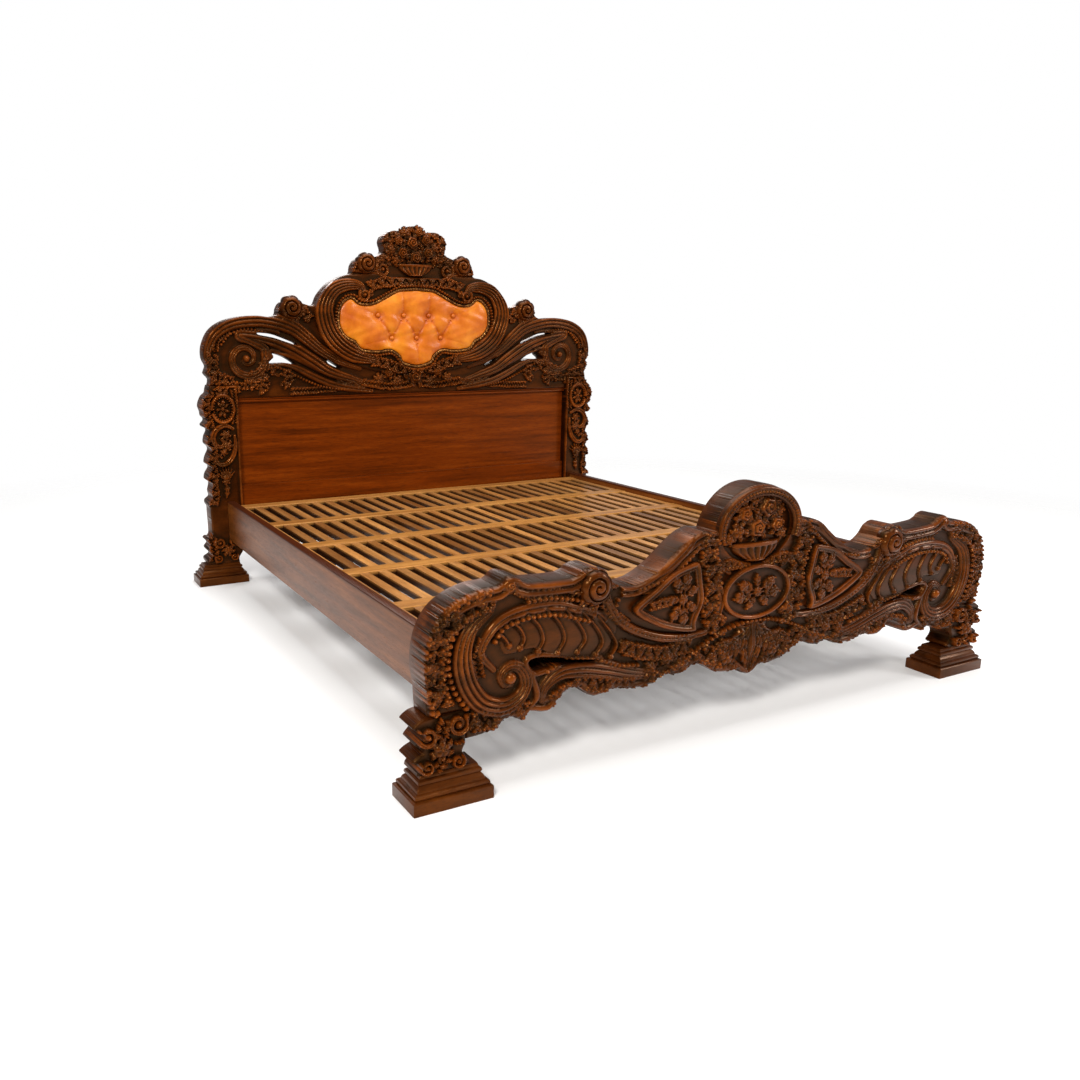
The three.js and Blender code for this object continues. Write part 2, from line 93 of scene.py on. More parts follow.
soft_box("main_light", (-3.6, -4.0, 3.8), (0.0, 0.0, 0.5), 1.1, 1.1, 260, (1.0, 0.97, 0.93))
soft_box("side_light", (4.2, -3.4, 2.8), (0.0, 0.0, 0.5), 1.2, 1.6, 110, (1.0, 0.98, 0.96))
soft_box("top_light", (0.0, 0.0, 4.2), (0.0, 0.0, 0.3), 4.0, 3.0, 170, (1.0, 1.0, 1.0))
soft_box("back_light", (1.0, 4.6, 3.2), (0.0, 0.6, 0.8), 3.0, 1.6, 70, (1.0, 1.0, 1.0))

world = bpy.data.worlds.new("studio")
world.use_nodes = True
sky = world.node_tree
room = sky.nodes["Background"]
room.inputs["Color"].default_value = (1.0, 0.98, 0.96, 1.0)
room.inputs["Strength"].default_value = 0.36
backdrop = sky.nodes.new("ShaderNodeBackground")
backdrop.inputs["Color"].default_value = (1.0, 1.0, 1.0, 1.0)
backdrop.inputs["Strength"].default_value = 1.0
seen = sky.nodes.new("ShaderNodeLightPath")
blend = sky.nodes.new("ShaderNodeMixShader")
sky.links.new(seen.outputs["Is Camera Ray"], blend.inputs["Fac"])
sky.links.new(room.outputs["Background"], blend.inputs[1])
sky.links.new(backdrop.outputs["Background"], blend.inputs[2])
sky.links.new(blend.outputs["Shader"], sky.nodes["World Output"].inputs["Surface"])
bpy.context.scene.world = world


def put_mesh(name, points, faces, smooth=True, triangles=np.zeros((0, 3), np.int32)):
    """Makes a mesh object at the origin from arrays of points and faces, with loose triangles
    after the faces where a piece has both."""
    mesh = bpy.data.meshes.new(name)
    points = np.ascontiguousarray(points, dtype=np.float32)
    faces = np.asarray(faces, dtype=np.int32)
    corners = np.concatenate([faces.ravel(), triangles.ravel()]).astype(np.int32)
    starts = np.concatenate([np.arange(0, faces.size, faces.shape[1]),
                             np.arange(faces.size, len(corners), 3)]).astype(np.int32)
    mesh.vertices.add(len(points))
    mesh.vertices.foreach_set("co", points.ravel())
    mesh.loops.add(len(corners))
    mesh.loops.foreach_set("vertex_index", corners)
    mesh.polygons.add(len(starts))
    mesh.polygons.foreach_set("loop_start", starts)
    mesh.polygons.foreach_set("use_smooth", np.full(len(starts), smooth))
    mesh.update(calc_edges=True)
    piece = bpy.data.objects.new(name, mesh)
    bpy.context.collection.objects.link(piece)
    return piece


floor_edge = 5.0
ring_size, ring_turn = np.meshgrid(np.linspace(0.05, floor_edge, 12), np.arange(48) * math.pi / 24,
                                   indexing="ij")
floor_points = np.stack([ring_size * np.cos(ring_turn), ring_size * np.sin(ring_turn), 0 * ring_size],
                        axis=-1)
step = np.arange(11)[:, None] * 48 + np.arange(48)[None, :]
ahead = np.arange(11)[:, None] * 48 + (np.arange(48)[None, :] + 1) % 48
floor = put_mesh("floor", floor_points.reshape(-1, 3),
                 np.stack([step, step + 48, ahead + 48, ahead], axis=-1).reshape(-1, 4))
floor_paint = bpy.data.materials.new("pale_floor")
floor_paint.use_nodes = True
paint = floor_paint.node_tree
floor_shader = paint.nodes["Principled BSDF"]
floor_shader.inputs["Base Color"].default_value = (0.94, 0.94, 0.94, 1.0)
floor_shader.inputs["Roughness"].default_value = 0.8
floor_shader.inputs["Specular IOR Level"].default_value = 0.1
floor_place = paint.nodes.new("ShaderNodeTexCoord")
floor_reach = paint.nodes.new("ShaderNodeVectorMath")
floor_reach.operation = "LENGTH"
floor_fade = paint.nodes.new("ShaderNodeMapRange")
floor_fade.inputs["From Min"].default_value = 2.2
floor_fade.inputs["From Max"].default_value = 4.4
floor_fade.inputs["To Min"].default_value = 1.0
floor_fade.inputs["To Max"].default_value = 0.0
paint.links.new(floor_place.outputs["Object"], floor_reach.inputs[0])
paint.links.new(floor_reach.outputs["Value"], floor_fade.inputs["Value"])
paint.links.new(floor_fade.outputs["Result"], floor_shader.inputs["Alpha"])
floor.data.materials.append(floor_paint)

# ------------------------------------------------------- carving on a flat board
# Every carved board starts as a plank. The ground between the ornament is cut back, and
# the ornament is left standing: reeded bands, leaves, roses, berries and shells.


def new_board(outline, openings, pitch, mirrored=False):
    """A square grid of heights over a board: left to right, bottom to top. A mirrored board is
    the right-hand half of one, and its grid starts on the middle line."""
    low, high = outline.min(axis=0) - 2 * pitch, outline.max(axis=0) + 2 * pitch
    if mirrored:
        low[0] = 0.0
    across = np.arange(low[0], high[0] + pitch, pitch)
    up = np.arange(low[1], high[1] + pitch, pitch)
    grid_x, grid_z = np.meshgrid(across, up)
    return {
        "x": grid_x, "z": grid_z, "low": low, "pitch": pitch, "mirrored": mirrored,
        "loops": [outline, *openings], "height": np.zeros_like(grid_x),
    }


def window(board, low, high):
    """The slice of the grid that covers a box."""
    rows, columns = board["x"].shape
    first = np.floor((np.asarray(low) - board["low"]) / board["pitch"]).astype(int)
    last = np.ceil((np.asarray(high) - board["low"]) / board["pitch"]).astype(int) + 1
    first = np.maximum(first, 0)
    return (slice(first[1], max(min(last[1], rows), first[1])),
            slice(first[0], max(min(last[0], columns), first[0])))


def smooth_path(points, step=0.006, closed=False):
    """A Catmull-Rom curve through the points, sampled about every step."""
    points = np.asarray(points, float)
    if closed:
        padded = np.vstack([points[-1], points, points[:2]])
    else:
        padded = np.vstack([2 * points[0] - points[1], points, 2 * points[-1] - points[-2]])
    pieces = []
    for a, b, c, d in zip(padded[:-3], padded[1:-2], padded[2:-1], padded[3:]):
        count = max(2, int(np.hypot(*(c - b)) / step))
        t = np.linspace(0, 1, count, endpoint=False)[:, None]
        pieces.append(0.5 * (2 * b + (c - a) * t + (2 * a - 5 * b + 4 * c - d) * t ** 2
                             + (3 * b - a - 3 * c + d) * t ** 3))
    pieces.append(padded[-2][None, :])
    return np.vstack(pieces)


def near_path(board, path, reach):
    """For each grid point within reach: distance to the path, share along it, and side."""
    part = window(board, path.min(axis=0) - reach, path.max(axis=0) + reach)
    grid_x, grid_z = board["x"][part], board["z"][part]
    distance = np.full(grid_x.shape, np.inf)
    share = np.zeros(grid_x.shape)
    side = np.ones(grid_x.shape)
    lengths = np.hypot(*np.diff(path, axis=0).T)
    run = np.concatenate([[0], np.cumsum(lengths)]) / max(lengths.sum(), 1e-9)
    pitch = board["pitch"]
    if grid_x.size == 0:
        return part, distance, share, side
    corner = np.array([grid_x[0, 0], grid_z[0, 0]])
    for index in range(len(path) - 1):
        a, b = path[index], path[index + 1]
        low = np.maximum(((np.minimum(a, b) - reach - corner) / pitch).astype(int), 0)
        high = ((np.maximum(a, b) + reach - corner) / pitch).astype(int) + 2
        local = (slice(low[1], high[1]), slice(low[0], high[0]))
        x, z = grid_x[local] - a[0], grid_z[local] - a[1]
        dx, dz = b - a
        length2 = max(dx * dx + dz * dz, 1e-12)
        t = np.clip((x * dx + z * dz) / length2, 0, 1)
        gap = np.hypot(x - t * dx, z - t * dz)
        closer = gap < distance[local]
        distance[local] = np.where(closer, gap, distance[local])
        share[local] = np.where(closer, run[index] + t * (run[index + 1] - run[index]), share[local])
        side[local] = np.where(closer, np.sign(dx * z - dz * x), side[local])
    return part, distance, share, side


def raise_to(board, part, inside, height):
    """Leaves wood standing to a height where it is inside the ornament."""
    here = board["height"][part]
    board["height"][part] = np.where(inside, np.maximum(here, height), here)


def band(board, path, widths, height, reeds=1, ground=0.0):
    """A rounded band along a path. Its section is part half-ellipse, part a row of reeds:
    height = ground + height x (0.4 sqrt(1 - u2) + 0.6 sqrt(1 - v2)), where u runs across the
    band and v across each reed."""
    path = smooth_path(path)
    part, distance, share, side = near_path(board, path, max(widths))
    half = np.interp(share, np.linspace(0, 1, len(widths)), widths)
    u = np.clip(distance / half, 0, 1)
    ellipse = np.sqrt(1 - u ** 2)
    if reeds > 1:
        v = (side * u * 0.999 + 1) / 2 * reeds
        v = 2 * (v - np.floor(v)) - 1
        section = 0.4 * ellipse + 0.6 * np.sqrt(np.clip(1 - v ** 2, 0, 1)) * (1 - 0.25 * u ** 2)
    else:
        section = ellipse
    thin = np.clip(half / max(widths), 0.35, 1)
    raise_to(board, part, distance < half, ground + height * section * thin)


def leaf(board, path, width, height, lobes=3, ground=0.0):
    """A lobed leaf along a path: the half width swells and narrows as a sine and is notched
    by its lobes, veins slant back from the middle rib, and the rib is a fine groove."""
    path = smooth_path(path, step=0.004)
    part, distance, share, _ = near_path(board, path, width * 1.25)
    swell = np.sin(np.pi * np.clip(share, 0.02, 0.98) ** 0.75) ** 0.7
    notch = 0.84 + 0.2 * np.cos(2 * np.pi * lobes * share)
    half = np.maximum(width * swell * notch, 1e-5)
    u = np.clip(distance / half, 0, 1)
    veins = 0.8 + 0.2 * np.cos(2 * np.pi * (lobes * share - 0.9 * u))
    rib = 1 - 0.35 * np.exp(-(distance / (0.12 * width)) ** 2)
    section = np.sqrt(1 - u ** 2) ** 0.8 * veins * rib
    raise_to(board, part, distance < half, ground + height * section)


def around(board, x, z, radius):
    """Distance and angle of the grid points about a centre."""
    part = window(board, (x - radius, z - radius), (x + radius, z + radius))
    dx, dz = board["x"][part] - x, board["z"][part] - z
    return part, np.hypot(dx, dz), np.arctan2(dz, dx)


def rose(board, x, z, radius, height, turn=0.0, ground=0.0):
    """A rolled rose: a dome cut by one spiral, whose phase grows with the radius and the
    angle, inside five soft outer petals."""
    part, r, angle = around(board, x, z, radius * 1.1)
    edge = radius * (0.93 + 0.08 * np.cos(5 * angle + turn))
    q = np.clip(r / edge, 0, 1)
    roll = np.abs(np.cos(np.pi * 2.6 * q - angle / 2 + turn)) ** 0.6
    section = (1 - q ** 2) ** 0.4 * (0.55 + 0.45 * roll)
    raise_to(board, part, r < edge, ground + height * section)


def blossom(board, x, z, radius, height, turn=0.0, ground=0.0):
    """A small flower of five cupped petals with a bead in the middle."""
    part, r, angle = around(board, x, z, radius * 1.05)
    petal = np.abs(np.cos(2.5 * angle + turn))
    edge = radius * (0.82 + 0.18 * petal ** 0.6)
    q = np.clip(r / edge, 0, 1)
    cup = np.sqrt(1 - q ** 2) * (0.6 + 0.4 * petal ** 0.5) * (0.55 + 0.45 * q)
    bead = np.sqrt(np.clip(1 - (r / (0.3 * radius)) ** 2, 0, 1)) * 0.95
    raise_to(board, part, r < edge, ground + height * np.maximum(cup, bead))


def berry(board, x, z, radius, height, ground=0.0):
    """A round bead: height x sqrt(1 - (r / radius) squared)."""
    part, r, _ = around(board, x, z, radius)
    q = np.clip(r / radius, 0, 1)
    raise_to(board, part, r < radius, ground + height * np.sqrt(1 - q ** 2))


def inside_loops(board, loops):
    """True where a grid point is inside an odd number of the closed loops."""
    rows, columns = board["x"].shape
    flips = np.zeros((rows, columns + 1))
    low, pitch = board["low"], board["pitch"]
    heights = board["z"][:, 0]
    for loop in loops:
        for a, b in zip(loop, np.roll(loop, -1, axis=0)):
            if a[1] == b[1]:
                continue
            bottom, top = sorted((a[1], b[1]))
            crossed = np.nonzero((heights >= bottom) & (heights < top))[0]
            if len(crossed) == 0:
                continue
            x = a[0] + (heights[crossed] - a[1]) * (b[0] - a[0]) / (b[1] - a[1])
            column = np.clip(np.ceil((x - low[0]) / pitch).astype(int), 0, columns)
            np.add.at(flips, (crossed, column), 1)
    return np.cumsum(flips, axis=1)[:, :columns] % 2 > 0.5


def level_inside(board, loop, level, dome=0.0):
    """Cuts or leaves the wood inside a loop at a level, with a slight dome towards its middle."""
    low, high = loop.min(axis=0), loop.max(axis=0)
    part = window(board, low, high)
    sub = {"x": board["x"][part], "z": board["z"][part], "pitch": board["pitch"]}
    sub["low"] = np.array([sub["x"][0, 0], sub["z"][0, 0]])
    inside = inside_loops(sub, [loop])
    middle, half = (low + high) / 2, (high - low) / 2
    bulge = 1 - ((sub["x"] - middle[0]) / half[0]) ** 2 * 0.5 - ((sub["z"] - middle[1]) / half[1]) ** 2 * 0.5
    board["height"][part] = np.where(inside, level + dome * bulge, board["height"][part])


def blurred(values, radius):
    """A box blur run twice each way, by differences of running sums."""
    for axis in (0, 1, 0, 1):
        pad = [(radius + 1, radius) if k == axis else (0, 0) for k in (0, 1)]
        total = np.cumsum(np.pad(values, pad, mode="edge"), axis=axis)
        count = total.shape[axis]
        ahead = np.take(total, range(2 * radius + 1, count), axis=axis)
        behind = np.take(total, range(0, count - 2 * radius - 1), axis=axis)
        values = (ahead - behind) / (2 * radius + 1)
    return values


def snap_to_edge(board):
    """Works out which grid points lie on the wood, and moves the first row outside it on to
    the outline, so that the edge of the board is smooth."""
    loops, pitch = board["loops"], board["pitch"]
    inside = inside_loops(board, loops)
    grid_x, grid_z = board["x"], board["z"]
    distance = np.full(grid_x.shape, np.inf)
    edge_x, edge_z = grid_x.copy(), grid_z.copy()
    reach = max(8 * pitch, 0.03)
    for loop in loops:
        for a, b in zip(loop, np.roll(loop, -1, axis=0)):
            if board["mirrored"] and max(abs(a[0]), abs(b[0])) < 1e-6:
                continue
            part = window(board, np.minimum(a, b) - reach, np.maximum(a, b) + reach)
            x, z = grid_x[part] - a[0], grid_z[part] - a[1]
            dx, dz = b - a
            t = np.clip((x * dx + z * dz) / max(dx * dx + dz * dz, 1e-12), 0, 1)
            gap = np.hypot(x - t * dx, z - t * dz)
            closer = gap < distance[part]
            distance[part] = np.where(closer, gap, distance[part])
            edge_x[part] = np.where(closer, a[0] + t * dx, edge_x[part])
            edge_z[part] = np.where(closer, a[1] + t * dz, edge_z[part])
    quad = (inside[:-1, :-1] | inside[1:, :-1] | inside[:-1, 1:] | inside[1:, 1:])
    used = np.zeros_like(inside)
    for rows, columns in ((slice(None, -1), slice(None, -1)), (slice(1, None), slice(None, -1)),
                          (slice(None, -1), slice(1, None)), (slice(1, None), slice(1, None))):
        used[rows, columns] |= quad
    move = used & (~inside | (distance < 0.3 * pitch))
    if board["mirrored"]:
        middle = np.abs(grid_x) < 1e-9
        edge_x = np.where(middle, 0.0, edge_x)
    place_x = np.where(move, edge_x, grid_x)
    place_z = np.where(move, edge_z, grid_z)
    depth = np.where(move | ~inside, 0.0, distance)
    return quad, place_x, place_z, depth


def half_board_normals(board, y):
    """The normals of the surface y(x, z): each is (dy/dx, -1, dy/dz) made unit length."""
    down, across = np.gradient(y, board["pitch"])
    if board["mirrored"]:
        across[:, np.abs(board["x"][0]) < 1e-9] = 0.0
    normals = np.stack([across, -np.ones_like(y), down], axis=-1)
    return normals / np.linalg.norm(normals, axis=-1, keepdims=True)


def flat_fill(outline, loops):
    """Triangles that fill the inside of closed outlines: a constrained Delaunay net, of which the
    triangles inside the outlines are kept, by the even-odd count of edges to the right."""
    net = geometry.delaunay_2d_cdt([Vector(point) for point in outline], loops.tolist(), [], 0, 1e-9, True)
    places = np.array([tuple(point) for point in net[0]])
    sources = np.array([found[0] if found else np.argmin(np.hypot(*(outline - place).T))
                        for found, place in zip(net[3], places)])
    triangles = np.array(net[2])
    middle = places[triangles].mean(axis=1)
    start, end = outline[loops[:, 0]], outline[loops[:, 1]]
    across = (start[:, 1] > middle[:, 1, None]) != (end[:, 1] > middle[:, 1, None])
    rise = np.where(end[:, 1] == start[:, 1], 1.0, end[:, 1] - start[:, 1])
    at = start[:, 0] + (middle[:, 1, None] - start[:, 1]) / rise * (end[:, 0] - start[:, 0])
    inside = (across & (at > middle[:, 0, None])).sum(axis=1) % 2 == 1
    kept = sources[triangles[inside]]
    whole = (kept[:, 0] != kept[:, 1]) & (kept[:, 1] != kept[:, 2]) & (kept[:, 2] != kept[:, 0])
    return kept[whole]


def carved_piece(name, board, front, back, round_over=0.006, side=1):
    """Turns the heights into one closed carved board. The face lies at front minus height, and
    its rim is rounded over by a quarter circle. A side of -1 makes the left-hand copy."""
    quad, place_x, place_z, depth = board["edge"]
    height = board["height"]
    inset = np.clip(depth / round_over, 0, 1)
    rim = round_over * (1 - np.sqrt(1 - (1 - inset) ** 2))
    y = front - (height - rim)
    hollow = board["hollow"]
    normals = half_board_normals(board, y)
    rows, columns = np.nonzero(quad)
    width = height.shape[1]
    corner = rows * width + columns
    faces = np.stack([corner, corner + 1, corner + width + 1, corner + width], axis=1)
    used, faces = np.unique(faces, return_inverse=True)
    faces = faces.reshape(-1, 4)
    points = np.stack([place_x.ravel()[used], y.ravel()[used], place_z.ravel()[used]], axis=1)
    edges = np.concatenate([faces[:, [0, 1]], faces[:, [1, 2]], faces[:, [2, 3]], faces[:, [3, 0]]])
    _, index, count = np.unique(np.sort(edges, axis=1), axis=0, return_index=True, return_counts=True)
    rim_edges = edges[index[count == 1]]
    ring, mapped = np.unique(rim_edges, return_inverse=True)
    rim_loops = mapped.reshape(-1, 2)
    back_faces = flat_fill(points[ring][:, [0, 2]], rim_loops)[:, ::-1] + len(points)
    mapped = rim_loops + len(points)
    behind = points[ring].copy()
    behind[:, 1] = back
    walls = np.stack([rim_edges[:, 1], rim_edges[:, 0], mapped[:, 0], mapped[:, 1]], axis=1)
    points = np.vstack([points, behind])
    points[:, 0] *= side
    faces = np.vstack([faces, walls])
    if side < 0:
        faces, back_faces = faces[:, ::-1], back_faces[:, ::-1]
    front_count = len(faces) - len(walls)
    piece = put_mesh(name, points, faces, triangles=back_faces)
    values = np.concatenate([hollow.ravel()[used], np.full(len(behind), 0.5)]).astype(np.float32)
    piece.data.attributes.new("hollow", "FLOAT", "POINT").data.foreach_set("value", values)
    facing = normals.reshape(-1, 3)[used] * (side, 1, 1)
    facing = np.vstack([facing, np.zeros((len(behind), 3))])
    loops = np.empty(len(piece.data.loops), np.int32)
    piece.data.loops.foreach_get("vertex_index", loops)
    corner_normals = facing[loops]
    corner_normals[4 * front_count:] = 0.0
    flat = np.ones(len(piece.data.polygons), bool)
    flat[len(faces):] = False
    piece.data.polygons.foreach_set("use_smooth", flat)
    piece.data.normals_split_custom_set(corner_normals)
    return piece


def half_width_pieces(name, board, front, back, round_over=0.006):
    """The left and the right half of a board that is carved the same on both sides."""
    return [carved_piece(f"{name}_{label}", board, front, back, round_over, side)
            for label, side in (("left", -1), ("right", 1))]


def edge_reeds(board, width, reeds, height, where):
    """Rounds run along the rim of a board: height x sqrt(1 - v squared) across each of them."""
    depth = board["edge"][3]
    v = depth / width * reeds
    v = 2 * (v - np.floor(v)) - 1
    section = height * np.sqrt(np.clip(1 - v ** 2, 0, 1))
    inside = (depth < width) & (depth > 0) & where
    board["height"] = np.where(inside, np.maximum(board["height"], section), board["height"])


def groove(board, path, width, depth):
    """Cuts a channel along a path: the height falls by depth x exp of minus distance squared."""
    part, distance, _, _ = near_path(board, smooth_path(path), 3 * width)
    cut = depth * np.exp(-(np.minimum(distance, 3 * width) / width) ** 2)
    board["height"][part] -= np.where(distance < 3 * width, cut, 0)


def beads(board, path, radius, height):
    """A string of round beads, touching, along a path."""
    path = smooth_path(path, 0.003)
    run = np.concatenate([[0], np.cumsum(np.hypot(*np.diff(path, axis=0).T))])
    for place in np.arange(radius, run[-1], 2.1 * radius):
        berry(board, np.interp(place, run, path[:, 0]), np.interp(place, run, path[:, 1]), radius, height)


def posy(board, x, z, radius, height, random, kind=rose):
    """A flower ringed by six leaves."""
    turn = random.uniform(0, 6.28)
    for angle in turn + np.arange(6) * math.pi / 3:
        out = np.array([math.cos(angle), math.sin(angle)])
        bend = np.array([-out[1], out[0]]) * 0.25
        middle = np.array([x, z])
        leaf(board, [middle + out * radius * 0.5, middle + (out + bend) * radius * 1.0,
                     middle + out * radius * 1.5], radius * 0.5, height * 0.6, 2)
    kind(board, x, z, radius, height, turn)


def foliage(board, path, reach, height, random, flowers=5):
    """Leaves set on either side of a stem in turn, with berries between them and a flower at
    every few places."""
    path = smooth_path(path, 0.004)
    run = np.concatenate([[0], np.cumsum(np.hypot(*np.diff(path, axis=0).T))])
    places = np.arange(0.3 * reach, run[-1], 0.42 * reach)
    for number, place in enumerate(places):
        point = np.array([np.interp(place, run, path[:, 0]), np.interp(place, run, path[:, 1])])
        ahead = np.array([np.interp(place + 0.004, run, path[:, 0]),
                          np.interp(place + 0.004, run, path[:, 1])]) - point
        ahead = ahead / max(np.hypot(*ahead), 1e-6)
        out = np.array([-ahead[1], ahead[0]]) * (1 if number % 2 else -1)
        size = reach * random.uniform(0.8, 1.1)
        tip = point + (0.8 * out + 0.5 * ahead) * size
        leaf(board, [point, point + (0.55 * out + 0.12 * ahead) * size, tip], 0.40 * size,
             height * random.uniform(0.65, 0.95))
        for back, along in ((0.5, 0.2), (0.8, 0.02), (0.72, 0.42)):
            berry(board, *(point + (along * ahead - back * out) * size), 0.22 * size, 1.05 * height)
        if flowers and number % flowers == flowers // 2:
            blossom(board, *point, 0.5 * reach, height * 1.15, random.uniform(0, 6))


def finish_carving(board, relief_scale, blur=3):
    """Works out how far each point lies above or below the wood around it, close by and
    farther off, as a share from 0 in a hollow to 1 on a top."""
    height = board["height"]
    close = (height - blurred(height, blur)) / relief_scale
    broad = (height - blurred(height, 3 * blur)) / (2.6 * relief_scale)
    # The carved finish paints shade into the hollows and highlights on the tops from this share; the broad
    # part stands in for occlusion shade.
    board["hollow"] = np.clip(0.5 + 1.15 * close + 0.55 * broad, 0, 1)


# ------------------------------------------------------- polished carved wood
# Close-grained hardwood under a brown stain and a gloss lacquer. The hollows are painted nearly
# black, partly a thick glaze and partly painted shade, and the tops are lightened as painted highlights.


def shader_of(material):
    """The nodes, the links and the main shader of a material."""
    nodes = material.node_tree.nodes
    return nodes, material.node_tree.links, nodes["Principled BSDF"]


def ramp(nodes, stops):
    """A colour ramp with the given positions and colours."""
    node = nodes.new("ShaderNodeValToRGB")
    while len(node.color_ramp.elements) > 1:
        node.color_ramp.elements.remove(node.color_ramp.elements[-1])
    node.color_ramp.elements[0].position = stops[0][0]
    node.color_ramp.elements[0].color = stops[0][1]
    for position, colour in stops[1:]:
        element = node.color_ramp.elements.new(position)
        element.color = colour
    return node


def from_hex(code, alpha=1.0):
    """A linear colour from a painter's hex code."""
    parts = [int(code[place:place + 2], 16) / 255 for place in (0, 2, 4)]
    linear = [p / 12.92 if p <= 0.04045 else ((p + 0.055) / 1.055) ** 2.4 for p in parts]
    return (*linear, alpha)


def grain(nodes, links, stretch, scale, detail=8.0, rough=0.62):
    """A noise drawn out along the grain: fine across it and long along it."""
    place = nodes.new("ShaderNodeTexCoord")
    mapping = nodes.new("ShaderNodeMapping")
    mapping.inputs["Scale"].default_value = stretch
    noise = nodes.new("ShaderNodeTexNoise")
    noise.inputs["Scale"].default_value = scale
    noise.inputs["Detail"].default_value = detail
    noise.inputs["Roughness"].default_value = rough
    links.new(place.outputs["Object"], mapping.inputs["Vector"])
    links.new(mapping.outputs["Vector"], noise.inputs["Vector"])
    return noise


def mix_colours(nodes, links, share, first, second, blend="MIX"):
    """Mixes two colours. Each input is a fixed value or a socket to link."""
    node = nodes.new("ShaderNodeMix")
    node.data_type = "RGBA"
    node.blend_type = blend
    for socket, value in ((node.inputs["Factor"], share), (node.inputs[6], first), (node.inputs[7], second)):
        if isinstance(value, (float, int, tuple)):
            socket.default_value = value
        else:
            links.new(value, socket)
    return node.outputs[2]


def add_bump(nodes, links, shader, height, strength, distance):
    """Roughens the surface by a height, over a distance in metres."""
    bump = nodes.new("ShaderNodeBump")
    bump.inputs["Strength"].default_value = strength
    bump.inputs["Distance"].default_value = distance
    links.new(height, bump.inputs["Height"])
    links.new(bump.outputs["Normal"], shader.inputs["Normal"])
    return bump


def lacquered_wood(name, deep, body, bright, along=(1, 8, 8), hollows=False, streak=0.5):
    """Stained wood: a slow colour drift, a streak along the grain, fine pores, and where the
    piece is carved painted shade in the hollows, partly a dark glaze, and painted highlights on the tops."""
    material = bpy.data.materials.new(name)
    material.use_nodes = True
    nodes, links, shader = shader_of(material)
    slow = grain(nodes, links, tuple(a * 0.6 for a in along), 5.0, 4.0)
    fine = grain(nodes, links, along, 38.0, 9.0, 0.7)
    drift = ramp(nodes, [(0.32, deep), (0.52, body), (0.72, bright)])
    links.new(slow.outputs["Fac"], drift.inputs["Fac"])
    pores = ramp(nodes, [(0.36, (0.35, 0.3, 0.27, 1)), (0.5, (1, 1, 1, 1)), (0.7, (1.25, 1.2, 1.15, 1))])
    links.new(fine.outputs["Fac"], pores.inputs["Fac"])
    colour = mix_colours(nodes, links, streak, drift.outputs["Color"], pores.outputs["Color"], "MULTIPLY")
    if hollows:
        level = nodes.new("ShaderNodeAttribute")
        level.attribute_name = "hollow"
        # Painted shade and highlight: low shares go nearly black, partly glaze and partly painted occlusion
        # shade; high shares go up to three times lighter as painted highlights.
        glaze_shade_and_highlight = ramp(nodes, [(0.20, (0.06, 0.05, 0.05, 1)), (0.42, (0.4, 0.34, 0.30, 1)),
                            (0.50, (1, 1, 1, 1)), (0.62, (1.4, 1.4, 1.35, 1)),
                            (0.86, (2.9, 3.0, 3.0, 1))])
        links.new(level.outputs["Fac"], glaze_shade_and_highlight.inputs["Fac"])
        colour = mix_colours(nodes, links, 1.0, colour, glaze_shade_and_highlight.outputs["Color"], "MULTIPLY")
        sheen = ramp(nodes, [(0.2, (0.6, 0.6, 0.6, 1)), (0.5, (0.30, 0.30, 0.30, 1)),
                             (0.8, (0.13, 0.13, 0.13, 1))])
        links.new(level.outputs["Fac"], sheen.inputs["Fac"])
        links.new(sheen.outputs["Color"], shader.inputs["Roughness"])
    else:
        sheen = ramp(nodes, [(0.3, (0.42, 0.42, 0.42, 1)), (0.7, (0.24, 0.24, 0.24, 1))])
        links.new(fine.outputs["Fac"], sheen.inputs["Fac"])
        links.new(sheen.outputs["Color"], shader.inputs["Roughness"])
    links.new(colour, shader.inputs["Base Color"])
    add_bump(nodes, links, shader, fine.outputs["Fac"], 0.25, 0.0006)
    shader.inputs["Coat Weight"].default_value = 0.02
    shader.inputs["Coat Roughness"].default_value = 0.08
    shader.inputs["Specular IOR Level"].default_value = 0.32
    shader.inputs["Specular Tint"].default_value = (1.0, 0.45, 0.14, 1.0)
    return material


carved_wood = lacquered_wood(
    "carved_wood", from_hex("240d01"), from_hex("3c1803"), from_hex("522506"), (2, 7, 7), hollows=True,
)


def finish(piece, material, slot, *nodes):
    """Gives a piece its material, its place on the bed and the CAD nodes that it stands for."""
    piece.data.materials.clear()
    piece.data.materials.append(material)
    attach(piece, "root")
    if nodes:
        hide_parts(*nodes)


# ------------------------------------------------------------------ footboard
# A thick board of glued-up planks, sawn to its outline and carved on the face: a garland
# down each end, great reeded scrolls, a ribbed shell, and flowers along the lower edge.

foot_front = -1.059
foot_back = float(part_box("footboard_panel")[1].y)
carving_seed = np.random.default_rng(12)


def foot_drawing(points):
    """Points off the carver's half drawing, in inches from its middle and from the floor. The
    drawing's middle line lies an inch past the bed's, and its end lies on the bed's."""
    points = np.asarray(points, float)
    away = points[:, 0] + np.interp(points[:, 0], [0, 15, 20], [1.1, 0.5, 0.0])
    return np.stack([away, points[:, 1]], axis=1) * INCH


